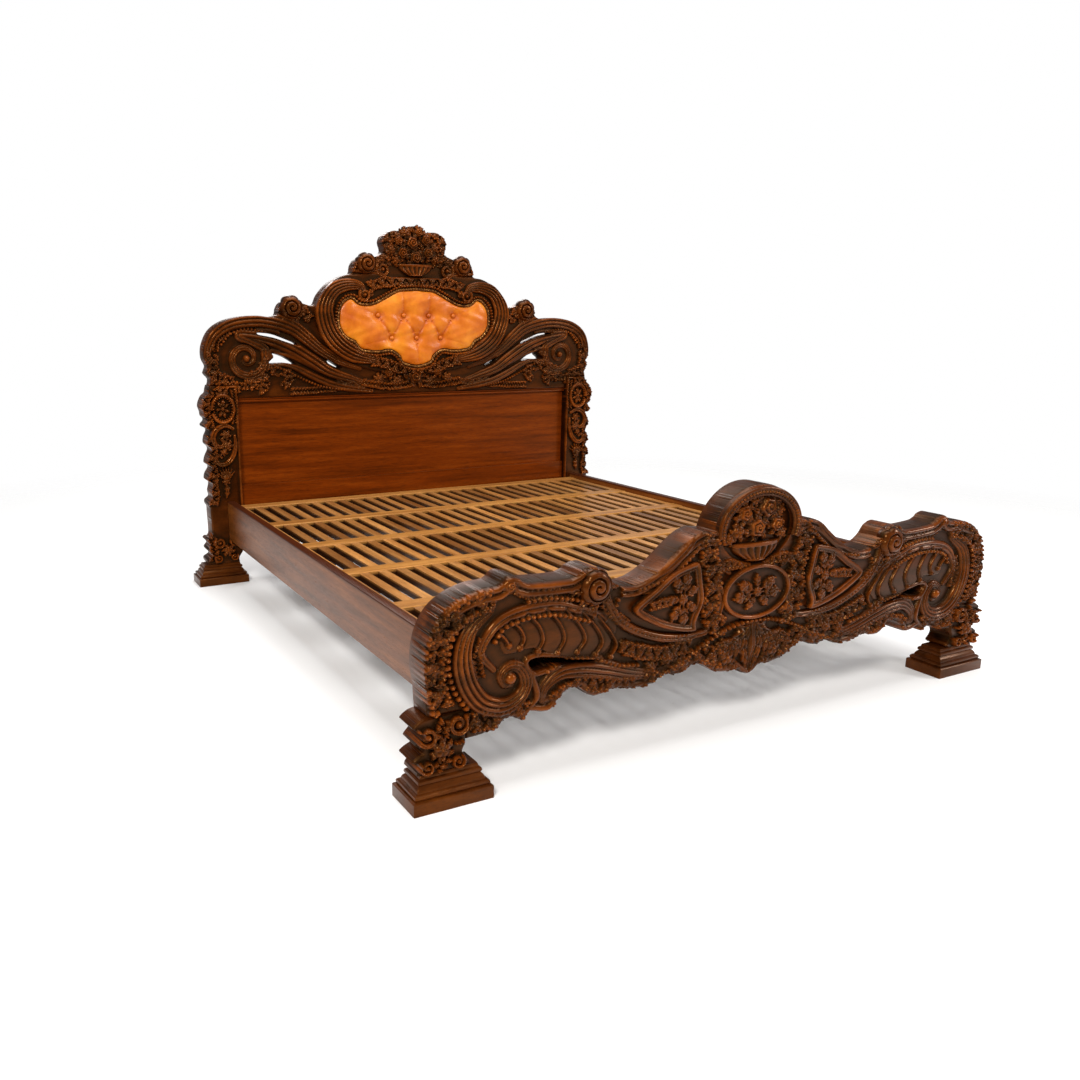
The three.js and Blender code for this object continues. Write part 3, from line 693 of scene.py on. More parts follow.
foot_top = np.array([
    [142, 470], [183, 474], [218, 462], [259, 434], [305, 398], [351, 373], [396, 362], [437, 370],
    [467, 390], [483, 411], [513, 423], [546, 416], [572, 403], [686, 408], [711, 423], [742, 429],
    [767, 411], [813, 408], [871, 390], [914, 357], [940, 304], [947, 243], [940, 187],
]) / 1000 + (0, 0.082)
foot_bottom = np.array([
    [770, 75], [744, 93], [721, 93], [696, 81], [678, 98], [650, 91], [620, 91], [599, 116],
    [569, 134], [538, 134], [523, 114], [498, 101], [472, 103], [442, 111], [401, 103], [356, 98],
    [315, 106], [279, 121], [254, 111], [218, 119], [183, 131], [152, 119], [117, 96], [76, 88],
    [43, 93], [20, 75], [0, 68],
]) / 1000 + (0, 0.082)
foot_slit = smooth_path(np.array([
    [683, 220], [658, 225], [625, 220], [572, 209], [488, 192], [572, 196], [625, 200], [665, 197],
]) / 1000 + (0, 0.082), 0.008, closed=True)[:-1]
arch_angle = np.linspace(math.pi / 2, 0.262, 24)
foot_arch = np.stack([0.147 * np.cos(arch_angle), 0.513 + 0.147 * np.sin(arch_angle)], axis=1)
foot_outline = np.vstack([
    foot_arch, smooth_path(foot_top[1:], 0.01),
    [[0.937, 0.2163], [0.8427, 0.2163], [0.8427, 0.145], [0.80, 0.147]],
    smooth_path(foot_bottom, 0.01),
])

foot = new_board(foot_outline, [foot_slit], 0.0022, mirrored=True)
foot["edge"] = snap_to_edge(foot)
x, z = foot["x"], foot["z"]
edge_reeds(foot, 0.042, 3, 0.010, (x < 0.43) & (z > 0.42))
edge_reeds(foot, 0.034, 2, 0.011, (x > 0.54) & (x < 0.90) & (z > 0.44))
edge_reeds(foot, 0.018, 1, 0.008, (z < 0.23) & (x < 0.79))
edge_reeds(foot, 0.016, 1, 0.009, (x > 0.47) & (x < 0.71) & (z > 0.24) & (z < 0.34))
drawing = foot_drawing
shell_field = smooth_path(drawing([(29.4, 16.6), (24, 16.9), (20, 16), (17, 14.2), (18.6, 11.4), (23, 11.8),
                                   (26.6, 13.2), (29.5, 13.2)]), 0.006, closed=True)[:-1]
level_inside(foot, shell_field, 0.001, 0.006)
band(foot, drawing([(30.5, 11.8), (31.8, 13.5), (31, 15.3), (29.5, 16.4), (27, 16.9), (24, 16.8), (22, 16.2),
                    (20, 15.5), (18.6, 14.6)]), [0.008, 0.014, 0.016, 0.014, 0.010], 0.014, 2)
for stem in (
    [(30.2, 15.2), (29.5, 14.6), (29.0, 13.8)], [(28.9, 16.1), (27.9, 15.2), (27.5, 14.2), (27.9, 13.4)],
    [(27.2, 16.5), (26.0, 15.3), (25.5, 13.9), (26.0, 12.8)], [(25.2, 16.6), (23.8, 15.2), (23.2, 13.6),
                                                               (23.9, 12.3)],
    [(23.1, 16.3), (21.6, 14.7), (20.9, 13.2), (21.7, 12.0)], [(21.2, 15.7), (19.7, 14.2), (18.8, 12.6),
                                                               (19.6, 11.4)],
    [(19.4, 15.1), (17.8, 13.4), (17.0, 12.0), (17.7, 10.9)],
):
    groove(foot, drawing(stem), 0.0055, 0.006)
    band(foot, drawing(stem), [0.0030, 0.0042, 0.0042, 0.0034], 0.012)
    rose(foot, *drawing(stem)[-1], 0.0095, 0.014)
beads(foot, drawing([(30.6, 14.2), (29.6, 15.5), (27.2, 16.1), (24.4, 16.0), (22.2, 15.4), (20.2, 14.7)]),
      0.0068, 0.015)
band(foot, drawing([(18.6, 17.5), (18, 16), (16.5, 14.2), (14, 12.8), (11, 11.8), (8, 11.4), (5.4, 11.5)]),
     [0.011, 0.013, 0.013, 0.010], 0.013, 2)
band(foot, drawing([(24.2, 8.0), (25.3, 8.0), (25.2, 9.2), (23.5, 10.4), (21, 10.4), (18, 9.7), (15, 8.8),
                    (12, 8.3), (9.6, 8.7)]), [0.008, 0.018, 0.027, 0.027, 0.022, 0.014, 0.008], 0.015, 4)
band(foot, drawing([(31, 17.3), (33, 15.8), (33.7, 13.5), (33.2, 11), (31.8, 9), (29.8, 8.2), (28, 8.7),
                    (27.2, 10), (27.6, 11.3), (28.7, 11.9), (29.7, 11.2), (29.4, 10.3), (28.8, 10.2)]),
     [0.012, 0.022, 0.027, 0.027, 0.024, 0.019, 0.014, 0.010], 0.019, 4)
berry(foot, *drawing([(28.9, 10.8)])[0], 0.016, 0.021)
band(foot, drawing([(27.2, 7.2), (26, 8.4), (26.4, 10.2), (27.2, 12.4)]), [0.005, 0.010, 0.008, 0.004], 0.012)
foliage(foot, drawing([(30.4, 18.4), (33.4, 17.6), (35.5, 16), (36.3, 13.5), (36.2, 11), (35.4, 9)]), 0.031,
        0.015, carving_seed)
foliage(foot, drawing([(33.6, 18.2), (35.9, 16.9), (36.9, 14.6), (36.9, 11.6)]), 0.020, 0.011,
        carving_seed, 0)
foliage(foot, drawing([(33.6, 7.6), (31.5, 7.3), (29.4, 7.1), (27.2, 7.3)]), 0.028, 0.014, carving_seed)
foliage(foot, drawing([(24.6, 7.6), (22, 8.6), (19.6, 8.6), (17, 7.9), (14.5, 7.7)]), 0.024, 0.013,
        carving_seed)
foliage(foot, drawing([(13.4, 7.9), (10.8, 7.4), (8, 8.2), (5.6, 9.2), (3, 8.4)]), 0.030, 0.016,
        carving_seed, 4)
foliage(foot, drawing([(29.6, 19.6), (27.6, 18.6), (25, 18), (22.8, 17.6)]), 0.018, 0.010, carving_seed, 0)
for place, radius in (((8.4, 8.8), 1.1), ((10.2, 9.6), 0.9), ((4.6, 7.6), 1.1), ((2.2, 8.4), 1.15),
                      ((6.6, 7.2), 0.8), ((1.0, 6.9), 0.8), ((12.4, 9.0), 0.8)):
    posy(foot, *drawing([place])[0], radius * INCH * 0.8, 0.019, carving_seed, blossom)
for lean in (-1.15, -0.75, -0.35, 0.35, 0.75, 1.15):
    tip = np.array([0.082 + 0.052 * math.sin(lean), 0.262 - 0.052 * math.cos(lean)])
    leaf(foot, [(0.082, 0.262), (0.082 + 0.6 * (tip[0] - 0.082), 0.262 + 0.5 * (tip[1] - 0.262)), tip], 0.013,
         0.017, 3)
band(foot, [(0.0, 0.305), (0.0, 0.24), (0.0, 0.165)], [0.010, 0.017, 0.004], 0.019)
leaf(foot, [(0.006, 0.305), (0.026, 0.24), (0.010, 0.168)], 0.020, 0.016, lobes=5)
leaf(foot, [(0.012, 0.292), (0.045, 0.262), (0.052, 0.205)], 0.024, 0.016, lobes=4)
beads(foot, [(0.0, 0.302), (0.05, 0.298), (0.10, 0.287), (0.15, 0.268), (0.19, 0.25)], 0.0072, 0.017)
band(foot, drawing([(5.2, 12.2), (3.9, 13.2), (3.6, 15.0), (4.3, 16.8), (3.6, 17.8), (2.6, 17.3)]),
     [0.006, 0.012, 0.014, 0.010, 0.007], 0.015, 2)
foliage(foot, [(0.165, 0.585), (0.158, 0.54), (0.168, 0.495), (0.150, 0.455), (0.146, 0.41), (0.152, 0.36),
               (0.135, 0.315), (0.10, 0.30)], 0.030, 0.016, carving_seed, 4)
foliage(foot, [(0.128, 0.455), (0.10, 0.462), (0.06, 0.459), (0.02, 0.460)], 0.016, 0.012, carving_seed, 3)
foliage(foot, drawing([(16.6, 11.9), (13.5, 10.7), (10.4, 10.3), (7.4, 10.4)]), 0.022, 0.013, carving_seed, 3)
foliage(foot, drawing([(31.6, 15.0), (32.2, 13.2), (31.9, 11.4)]), 0.014, 0.012, carving_seed, 0)
foliage(foot, drawing([(18.9, 16.6), (17.6, 15.1), (15.8, 13.9)]), 0.016, 0.012, carving_seed, 0)
for number in range(8):
    out = np.array([math.cos(number * math.pi / 4), math.sin(number * math.pi / 4)])
    centre = np.array([0.508, 0.455])
    leaf(foot, [centre + 0.03 * out, centre + 0.055 * out, centre + 0.078 * out], 0.016, 0.013, 3)

band(foot, drawing([(14.6, 17.8), (11.4, 18.6), (9, 20), (7.4, 21.6), (5.6, 22.6)]),
     [0.010, 0.013, 0.013, 0.009],
     0.012, 2)
for place, radius, turns in (((29.0, 19.3), 0.8, 1), ((18.4, 18.3), 0.7, 0), ((31.9, 18.9), 0.55, 2),
                             ((36.9, 13.0), 0.6, 1)):
    rose(foot, *drawing([place])[0], radius * INCH, 0.016, turns)
beads(foot, drawing([(32.6, 17.3), (34.4, 15.9), (35.1, 13.5), (34.6, 10.8), (33.2, 8.6)]), 0.0078, 0.017)
beads(foot, drawing([(27.4, 17.6), (24.6, 17.6), (21.8, 17.0), (19.5, 16.1)]), 0.0070, 0.015)
beads(foot, drawing([(16.9, 16.6), (17.2, 15.2), (15.6, 13.7), (13.2, 12.5), (10.5, 11.8), (7.6, 11.6)]),
      0.0060, 0.013)
beads(foot, drawing([(14.6, 17.0), (11.2, 17.7), (8.4, 19.2), (6.6, 20.9)]), 0.0064, 0.014)
beads(foot, drawing([(25.2, 10.6), (23, 11.4), (20, 11.1), (17, 10.0), (14, 9.5)]), 0.0068, 0.015)
niche_angle = np.linspace(0, 2 * math.pi, 60, endpoint=False)
niche = np.stack([0.123 * np.cos(niche_angle), 0.546 + 0.090 * np.sin(niche_angle)], axis=1)
level_inside(foot, niche, -0.010)
finish_carving(foot, 0.020, 4)
foot_boards = half_width_pieces("footboard_board", foot, foot_front, foot_back, 0.007)
finish(foot_boards[0], carved_wood, "carved_wood", "footboard_panel", "footboard_volute_left")
finish(foot_boards[1], carved_wood, "carved_wood", "footboard_panel", "footboard_volute_right")


# ------------------------------------------------------- footboard appliques
# Shield panels and an oval with sprays of flowers, planted on the face of the footboard
# either side of the middle. Each is carved from its own thin board and glued on.


def bouquet(board, middle, size, height, random):
    """A spray that fills a panel: a flower in the middle, stems out to smaller flowers, and a
    pair of leaves and a berry on each stem."""
    middle = np.asarray(middle, float)
    start = random.uniform(0, 1)
    for number in range(7):
        angle = start + number * 2 * math.pi / 7
        out = np.array([math.cos(angle) * size[0], math.sin(angle) * size[1]])
        reach = float(np.hypot(*out))
        tip = middle + out
        band(board, [middle + 0.2 * out, middle + 0.6 * out, tip], [0.0022, 0.0020], 0.5 * height)
        blossom(board, *tip, 0.26 * reach + 0.002, height * 0.9, angle)
        for lean in (-0.75, 0.75):
            bend = np.array([out[0] * math.cos(lean) - out[1] * math.sin(lean),
                             out[0] * math.sin(lean) + out[1] * math.cos(lean)])
            leaf(board, [middle + 0.45 * out, middle + 0.45 * out + 0.2 * bend,
                         middle + 0.5 * out + 0.42 * bend], 0.12 * reach, 0.8 * height, 2)
        berry(board, *(middle + 1.35 * out), 0.0035, 0.6 * height)
    blossom(board, *middle, 0.3 * min(size) + 0.004, height * 1.1, start)


def cut_board(outline, openings, pitch, mirrored=False):
    """A board on a grid of the given pitch, its rim already brought onto its outline."""
    board = new_board(outline, openings, pitch, mirrored)
    board["edge"] = snap_to_edge(board)
    return board


applique_back = foot_front + 0.004
shield_outline = smooth_path(np.array([
    [396, 304], [333, 350], [282, 383], [231, 398], [201, 398], [188, 350], [180, 299], [201, 248],
    [201, 223], [257, 230], [333, 258],
]) / 1000 + (0, 0.082), 0.006, closed=True)[:-1]
shield = cut_board(shield_outline, [], 0.0018)
shield["height"] -= 0.005
edge_reeds(shield, 0.013, 1, 0.005, True)
edge_reeds(shield, 0.020, 3, 0.003, shield["edge"][3] > 0.013)
bouquet(shield, (0.247, 0.394), (0.036, 0.052), 0.008, carving_seed)
foliage(shield, [(0.276, 0.395), (0.318, 0.392), (0.350, 0.389)], 0.014, 0.007, carving_seed, 3)
finish_carving(shield, 0.014, 4)
for piece, label in zip(half_width_pieces("carved_cartouche", shield, foot_front - 0.013, applique_back,
                                          0.003),
                        ("left", "right")):
    finish(piece, carved_wood, "carved_wood", f"footboard_cartouche_{label}")

oval_angle = np.linspace(0, 2 * math.pi, 90, endpoint=False)
oval = cut_board(np.stack([0.116 * np.cos(oval_angle), 0.381 + 0.074 * np.sin(oval_angle)], axis=1), [],
                 0.0018)
oval["height"] -= 0.005
edge_reeds(oval, 0.012, 1, 0.006, True)
bouquet(oval, (0.0, 0.381), (0.060, 0.034), 0.009, carving_seed)
finish_carving(oval, 0.014, 4)
medallion = carved_piece("carved_medallion", oval, foot_front - 0.014, applique_back, 0.003)
finish(medallion, carved_wood, "carved_wood", "footboard_medallion")

# ---------------------------------------------------------- niche and its basket
# Over the middle of the footboard a beaded round arch frames a niche, and a ribbed bowl of
# roses stands in it.

rim_angle = np.linspace(-0.32, math.pi + 0.32, 90)
rim_out = np.stack([0.142 * np.cos(rim_angle), 0.546 + 0.109 * np.sin(rim_angle)], axis=1)
rim_in = np.stack([0.117 * np.cos(rim_angle), 0.546 + 0.084 * np.sin(rim_angle)], axis=1)
arch_rim = cut_board(np.vstack([rim_out, rim_in[::-1]]), [], 0.0018)
band(arch_rim, np.stack([0.137 * np.cos(rim_angle), 0.546 + 0.104 * np.sin(rim_angle)], axis=1)[::6],
     [0.006, 0.006], 0.006)
band(arch_rim, np.stack([0.1205 * np.cos(rim_angle), 0.546 + 0.0875 * np.sin(rim_angle)], axis=1)[::6],
     [0.004, 0.004], 0.004)
for angle in np.linspace(-0.28, math.pi + 0.28, 44):
    berry(arch_rim, 0.1285 * math.cos(angle), 0.546 + 0.0957 * math.sin(angle), 0.0056, 0.009)
finish_carving(arch_rim, 0.012, 3)
arch_piece = carved_piece("carved_arch", arch_rim, foot_front - 0.010, applique_back, 0.003)
finish(arch_piece, carved_wood, "carved_wood", "footboard_arch")


def gadrooned_bowl(board, middle, bottom, half, tall, height):
    """A bowl in relief: height x sqrt(1 - u squared), ribbed by |cos| of the share across, under a
    beaded lip, over a small foot."""
    part = window(board, (middle - half, bottom), (middle + half, bottom + tall))
    up = (board["z"][part] - bottom) / tall
    swell = half * np.where(up < 0.12, 0.42, np.where(up > 0.78, 1.0, 0.5 + 0.46 * np.sin(np.clip(
        (up - 0.12) / 0.66, 0, 1) * math.pi / 2)))
    u = (board["x"][part] - middle) / swell
    ribs = 0.7 + 0.3 * np.abs(np.cos(u * 3.5 * math.pi))
    section = np.sqrt(np.clip(1 - u ** 2, 0, 1)) * np.where((up > 0.12) & (up < 0.78), ribs, 1.05)
    raise_to(board, part, (np.abs(u) < 1) & (up > 0) & (up < 1), height * section)


def applied_piece(name, board, front, sunk=0.004):
    """A carving without a board of its own: only where wood is left standing, its rim sunk a
    little way into what it is glued on."""
    height = board["height"]
    standing = height > 0.0008
    quad = (standing[:-1, :-1] | standing[1:, :-1] | standing[:-1, 1:] | standing[1:, 1:])
    depth = np.where(standing, 1.0, 0.0)
    board["edge"] = (quad, board["x"], board["z"], depth)
    board["height"] = np.where(standing, height, -0.5 * sunk)
    finish_carving(board, 0.016, 4)
    return carved_piece(name, board, front, front + sunk, 1e-6)


def bowl_of_flowers(name, middle, bottom, half, tall, height, flowers, front, pitch, random):
    """Flowers with their leaves, and the bowl in front of their stems, as one applied carving."""
    low = [middle - 2.4 * half, bottom - 0.01]
    high = [middle + 2.4 * half, max(f[1] + 2 * f[2] for f in flowers) + 0.01]
    frame_loop = np.array([low, [high[0], low[1]], high, [low[0], high[1]]])
    board = new_board(frame_loop, [], pitch)
    for x, z, radius, kind in flowers:
        posy(board, x, z, radius, height * (1.1 if kind is rose else 0.9), random, kind)
    gadrooned_bowl(board, middle, bottom, half, tall, height)
    return applied_piece(name, board, front)


foot_flowers = [
    (0.030, 0.600, 0.032, rose), (-0.004, 0.548, 0.030, rose), (-0.050, 0.588, 0.024, rose),
    (0.062, 0.552, 0.022, rose), (-0.064, 0.540, 0.020, blossom), (0.085, 0.527, 0.014, blossom),
    (-0.092, 0.522, 0.013, blossom), (-0.014, 0.620, 0.015, blossom), (0.074, 0.588, 0.014, blossom),
]
foot_basket = bowl_of_flowers("carved_footboard_basket", 0.0, 0.462, 0.084, 0.048, 0.020, foot_flowers,
                              foot_front + 0.008, 0.0018, carving_seed)
finish(foot_basket, carved_wood, "carved_wood", "footboard_basket")

# ------------------------------------------------------------------- full roses
# Rolled roses cut in the round and pegged to the boards, on the shoulders of the footboard
# and up the crest of the headboard.


def full_rose(name, x, z, radius, front, depth, turn, node):
    """A rose on a grid of radius and angle. Its height is depth x (1 - q squared) to the power
    0.42, cut by a spiral whose phase grows with the radius and with half the angle."""
    q, angle = np.meshgrid(np.linspace(0.0, 1.0, 46), np.linspace(0, 2 * math.pi, 120, endpoint=False))
    edge = radius * (1 - 0.13 * q ** 3 * (1 - np.abs(np.cos(3.5 * angle + turn)) ** 0.6))
    swirl = 2.5 * q - angle / (2 * math.pi) + 0.05 * np.sin(7 * angle) * q
    roll = (1 - (2 * (swirl - np.floor(swirl)) - 1) ** 4) ** 0.6
    tall = depth * (1 - q ** 2.6) ** 0.5 * (0.40 + 0.60 * roll)
    points = np.stack([x + q * edge * np.cos(angle), front - tall, z + q * edge * np.sin(angle)], axis=-1)
    around_count, out_count = q.shape
    step = np.arange(around_count)[:, None] * out_count + np.arange(1, out_count - 1)[None, :]
    next_step = (np.arange(around_count)[:, None] + 1) % around_count * out_count + np.arange(1,
                                                                                              out_count - 1)
    faces = np.stack([step, step + 1, next_step + 1, next_step], axis=-1).reshape(-1, 4)
    flat = points.reshape(-1, 3)
    heart = flat[np.arange(around_count) * out_count + 1].mean(axis=0)
    rim = np.arange(around_count) * out_count + out_count - 1
    skirt = flat[rim] + (0, 0.012, 0)
    base = len(flat)
    following = np.roll(np.arange(around_count), -1)
    wall = np.stack([rim, base + np.arange(around_count), base + following, rim[following]], axis=1)
    points = np.vstack([flat, skirt, heart, skirt.mean(axis=0)])
    piece = put_mesh(name, points, np.vstack([faces, wall]))
    shell = bmesh.new()
    shell.from_mesh(piece.data)
    loose = [vertex for vertex in shell.verts if not vertex.link_faces]
    bmesh.ops.delete(shell, geom=loose, context="VERTS")
    bmesh.ops.holes_fill(shell, edges=[edge for edge in shell.edges if edge.is_boundary], sides=0)
    bmesh.ops.recalc_face_normals(shell, faces=shell.faces)
    shell.to_mesh(piece.data)
    count = len(shell.verts)
    shell.free()
    values = np.full(count, 0.5, np.float32)
    # Painted shade in the spiral between the rolled petals and painted highlight on their crowns, through the
    # hollow share.
    share = (0.10 + 0.66 * roll * (1 - 0.25 * q)).reshape(-1)
    keep = np.ones(len(flat), bool)
    keep[np.arange(around_count) * out_count] = False
    values[:keep.sum()] = share[keep]
    piece.data.attributes.new("hollow", "FLOAT", "POINT").data.foreach_set("value", values)
    finish(piece, carved_wood, "carved_wood", node)


for label, side in (("left", -1), ("right", 1)):
    full_rose(f"carved_footboard_rose_{label}", side * 0.508, 0.458, 0.046, foot_front - 0.004, 0.026,
              0.7 * side,
              f"footboard_rose_{label}")
    full_rose(f"carved_upper_rose_{label}", side * 0.222, 1.283, 0.046, 0.994, 0.033, 0.4 * side,
              f"crest_upper_rose_{label}")
    full_rose(f"carved_shoulder_rose_{label}", side * 0.549, 1.103, 0.050, 0.994, 0.033, 1.3 * side,
              f"crest_shoulder_rose_{label}")

# -------------------------------------------------------------- footboard legs
# A short carved block under each end of the footboard, cut with curls and a rosette, and
# with leaf knobs on its outer edge.


def curl(board, x, z, radius, height, turn=1):
    """A scroll of one and a half turns about an eye: a reeded band that narrows as it winds."""
    angle = np.linspace(0, 3 * math.pi, 18)
    size = radius * np.linspace(0.82, 0.22, 18)
    path = np.stack([x + turn * size * np.cos(angle + 2.6), z + size * np.sin(angle + 2.6)], axis=1)
    band(board, path, [0.24 * radius, 0.20 * radius, 0.13 * radius], height, 2 if radius > 0.024 else 1)
    berry(board, x, z, 0.26 * radius, 1.1 * height)


leg_outline = np.array([
    [94, 216], [112, 212], [130, 198], [116, 188], [102, 180], [112, 168], [122, 155], [110, 146], [104, 135],
    [120, 127], [132, 117], [118, 108], [112, 99], [118, 90], [120, 82.3], [3, 82.3], [-9, 92], [2, 104],
    [8, 117], [4, 130], [0, 142], [0, 216],
]) / 1000 + (0.843, 0)
leg_side, leg_inside = leg_outline[:15], leg_outline[15:]
leg_outline = np.vstack([smooth_path(leg_side, 0.004), smooth_path(leg_inside, 0.004)])
leg = cut_board(leg_outline, [], 0.0018)
leg["height"] -= 0.004
for x, z, radius, turn in ((0.868, 0.192, 0.030, 1), (0.942, 0.176, 0.028, -1), (0.944, 0.104, 0.020, -1),
                          (0.868, 0.104, 0.019, 1)):
    curl(leg, x, z, radius, 0.017, turn)
posy(leg, 0.907, 0.140, 0.021, 0.018, carving_seed, blossom)
beads(leg, [(0.852, 0.150), (0.866, 0.146), (0.880, 0.150)], 0.0042, 0.014)
foliage(leg, [(0.895, 0.208), (0.907, 0.186), (0.906, 0.168)], 0.016, 0.013, carving_seed, 0)
foliage(leg, [(0.890, 0.098), (0.905, 0.108), (0.918, 0.098)], 0.014, 0.012, carving_seed, 0)
finish_carving(leg, 0.018, 4)
leg_back = float(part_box("footboard_leg_left")[1].y)
for piece, label in zip(half_width_pieces("carved_leg", leg, foot_front - 0.006, leg_back, 0.006),
                        ("left", "right")):
    finish(piece, carved_wood, "carved_wood", f"footboard_leg_{label}")

# ------------------------------------------------------------------- plinths
# Four stepped plinths, turned to the same moulding: a thick slab, a round, a hollow and a
# small fillet under the post.

plinth_moulding = np.array([
    [0, 0], [0, 29], [1.5, 31], [3, 31.5], [9, 32], [7, 35], [6, 38.5], [7, 42], [10, 44.5], [15, 45.5],
    [15.5, 50], [18, 55], [22, 59], [24, 61], [21, 62.5], [20, 66], [21, 70], [24, 72.5], [27, 73.5],
    [27, 78], [29, 81.7],
]) / 1000


def plinth(label, node):
    """The moulding carried round a rectangle whose corners are rounded by 2 mm."""
    low, high = (np.array(corner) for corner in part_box(node))
    turn = np.linspace(0, math.pi / 2, 4)
    corners = []
    for quarter, (x_end, y_end) in enumerate(((1, 1), (0, 1), (0, 0), (1, 0))):
        angle = turn + quarter * math.pi / 2
        corners.append(np.stack([np.full(4, x_end), np.full(4, y_end),
                                 0.002 * (np.cos(angle) - (1 if x_end else -1)),
                                 0.002 * (np.sin(angle) - (1 if y_end else -1))], axis=1))
    ring = np.vstack(corners)
    inset, up = plinth_moulding[:, 0][:, None], plinth_moulding[:, 1][:, None]
    x = np.where(ring[:, 0] > 0, high[0] - inset, low[0] + inset) + ring[:, 2]
    y = np.where(ring[:, 1] > 0, high[1] - inset, low[1] + inset) + ring[:, 3]
    z = np.broadcast_to(up, x.shape)
    points = np.stack([x, y, z], axis=-1).reshape(-1, 3)
    rows, count = x.shape
    step = np.arange(rows - 1)[:, None] * count + np.arange(count)[None, :]
    ahead = np.arange(rows - 1)[:, None] * count + (np.arange(count)[None, :] + 1) % count
    faces = np.stack([step, ahead, ahead + count, step + count], axis=-1).reshape(-1, 4)
    piece = put_mesh(label, points, faces)
    shell = bmesh.new()
    shell.from_mesh(piece.data)
    bmesh.ops.holes_fill(shell, edges=[edge for edge in shell.edges if edge.is_boundary], sides=0)
    bmesh.ops.recalc_face_normals(shell, faces=shell.faces)
    shell.to_mesh(piece.data)
    shell.free()
    piece.data.set_sharp_from_angle(angle=math.radians(32))
    finish(piece, plain_wood, "carved_wood", node)


plain_wood = lacquered_wood(
    "plain_wood", from_hex("2c1103"), from_hex("421d06"), from_hex("552909"), (2, 7, 7),
)
for board in ("headboard", "footboard"):
    for label in ("left", "right"):
        plinth(f"{board}_plinth_{label}_moulded", f"{board}_plinth_{label}")

# ---------------------------------------------------------------- headboard posts
# Two carved posts, each a thick plank sawn to a leafy outline: an oval beaded boss at the
# top, scrolls and rosettes below it, a fan of leaves, a plain run, and a carved foot.


def crest_drawing(points):
    """Points off the carver's drawing of the headboard, in its own inches, whose middle line
    lies at one."""
    points = np.asarray(points, float)
    return np.stack([(points[:, 0] - 1) * 0.02616, 0.0403 + 0.02443 * points[:, 1]], axis=1)


post_outline = np.array([
    [107, 803], [112, 786], [115, 773], [128, 762], [136, 749], [142, 734], [144, 719], [138, 700], [136,
                                                                                                     683],
    [126, 672], [128, 661], [138, 651], [136, 641], [120, 632], [118, 622], [128, 600], [131, 575], [120,
                                                                                                     562],
    [115, 548], [128, 520], [133, 495], [122, 486], [118, 475], [132, 452], [136, 429], [122, 420], [120,
                                                                                                     407],
    [126, 380], [123, 358], [138, 345], [141, 331], [133, 315], [133, 297], [133, 202], [150, 194], [157,
                                                                                                     184],
    [146, 174], [144, 162], [152, 153], [154, 143], [140, 131], [138, 118], [156, 107], [159, 96],
    [152, 82.3], [26, 82.3], [26, 101], [10, 128], [0, 153], [13, 182], [13, 202], [0, 213], [0, 803],
]) / 1000 + (0.785, 0)
side_end = 45
post_outline = np.vstack([smooth_path(post_outline[:side_end], 0.005),
                          smooth_path(post_outline[side_end:-1], 0.005),
                          post_outline[-1:]])
post = cut_board(post_outline, [], 0.0020)
post["height"] -= 0.003
post_seed = np.random.default_rng(5)
x, z = post["x"], post["z"]
edge_reeds(post, 0.012, 1, 0.004, (x < 0.83) & (z > 0.22))
boss_turn = np.linspace(0, 2 * math.pi, 17)
boss = np.array([0.848, 0.712])
band(post, np.stack([boss[0] + 0.044 * np.cos(boss_turn), boss[1] + 0.054 * np.sin(boss_turn)], axis=1)[:-1],
     [0.007, 0.007], 0.016)
for angle in np.linspace(0, 2 * math.pi, 26, endpoint=False):
    berry(post, boss[0] + 0.036 * math.cos(angle), boss[1] + 0.046 * math.sin(angle), 0.0042, 0.014)
bouquet(post, boss, (0.019, 0.026), 0.013, post_seed)
foliage(post, [(0.886, 0.785), (0.912, 0.75), (0.916, 0.712), (0.910, 0.672), (0.90, 0.64)], 0.022, 0.014,
        post_seed, 4)
foliage(post, [(0.803, 0.79), (0.800, 0.75), (0.798, 0.70), (0.803, 0.655)], 0.014, 0.010, post_seed, 0)
foliage(post, [(0.82, 0.778), (0.85, 0.784), (0.876, 0.778)], 0.018, 0.012, post_seed, 3)
band(post, [(0.812, 0.632), (0.842, 0.646), (0.876, 0.634), (0.893, 0.604), (0.884, 0.572), (0.862, 0.562),
            (0.850, 0.578), (0.860, 0.592)], [0.007, 0.012, 0.013, 0.010, 0.006], 0.015, 2)
band(post, [(0.806, 0.604), (0.806, 0.560), (0.820, 0.520), (0.846, 0.494), (0.872, 0.492), (0.886, 0.510),
            (0.876, 0.528), (0.862, 0.520)], [0.006, 0.010, 0.012, 0.010, 0.006], 0.014, 2)
for x, z, radius in ((0.842, 0.608, 0.016), (0.836, 0.566, 0.017), (0.853, 0.540, 0.012)):
    posy(post, x, z, radius, 0.016, post_seed, blossom)
foliage(post, [(0.905, 0.618), (0.902, 0.575), (0.899, 0.535), (0.905, 0.498), (0.897, 0.455), (0.905, 0.425),
               (0.896, 0.38), (0.905, 0.335)], 0.022, 0.013, post_seed, 4)
for lean in np.linspace(-1.0, 1.0, 7):
    tip = np.array([0.85 + 0.042 * math.sin(lean), 0.430 + 0.055 * math.cos(lean)])
    leaf(post, [(0.85, 0.428), ((0.85 + tip[0]) / 2, (0.43 + tip[1]) / 2), tip], 0.008, 0.014, 2)
posy(post, 0.85, 0.425, 0.013, 0.016, post_seed, blossom)
leaf(post, [(0.85, 0.41), (0.848, 0.385), (0.852, 0.355)], 0.013, 0.010, 3)
foliage(post, [(0.905, 0.20), (0.925, 0.182), (0.918, 0.155), (0.916, 0.125), (0.922, 0.098)], 0.022, 0.013,
        post_seed, 0)
for x, z, radius, turn in ((0.832, 0.176, 0.026, 1), (0.890, 0.172, 0.026, -1), (0.834, 0.110, 0.018, 1),
                          (0.898, 0.108, 0.020, -1)):
    curl(post, x, z, radius, 0.016, turn)
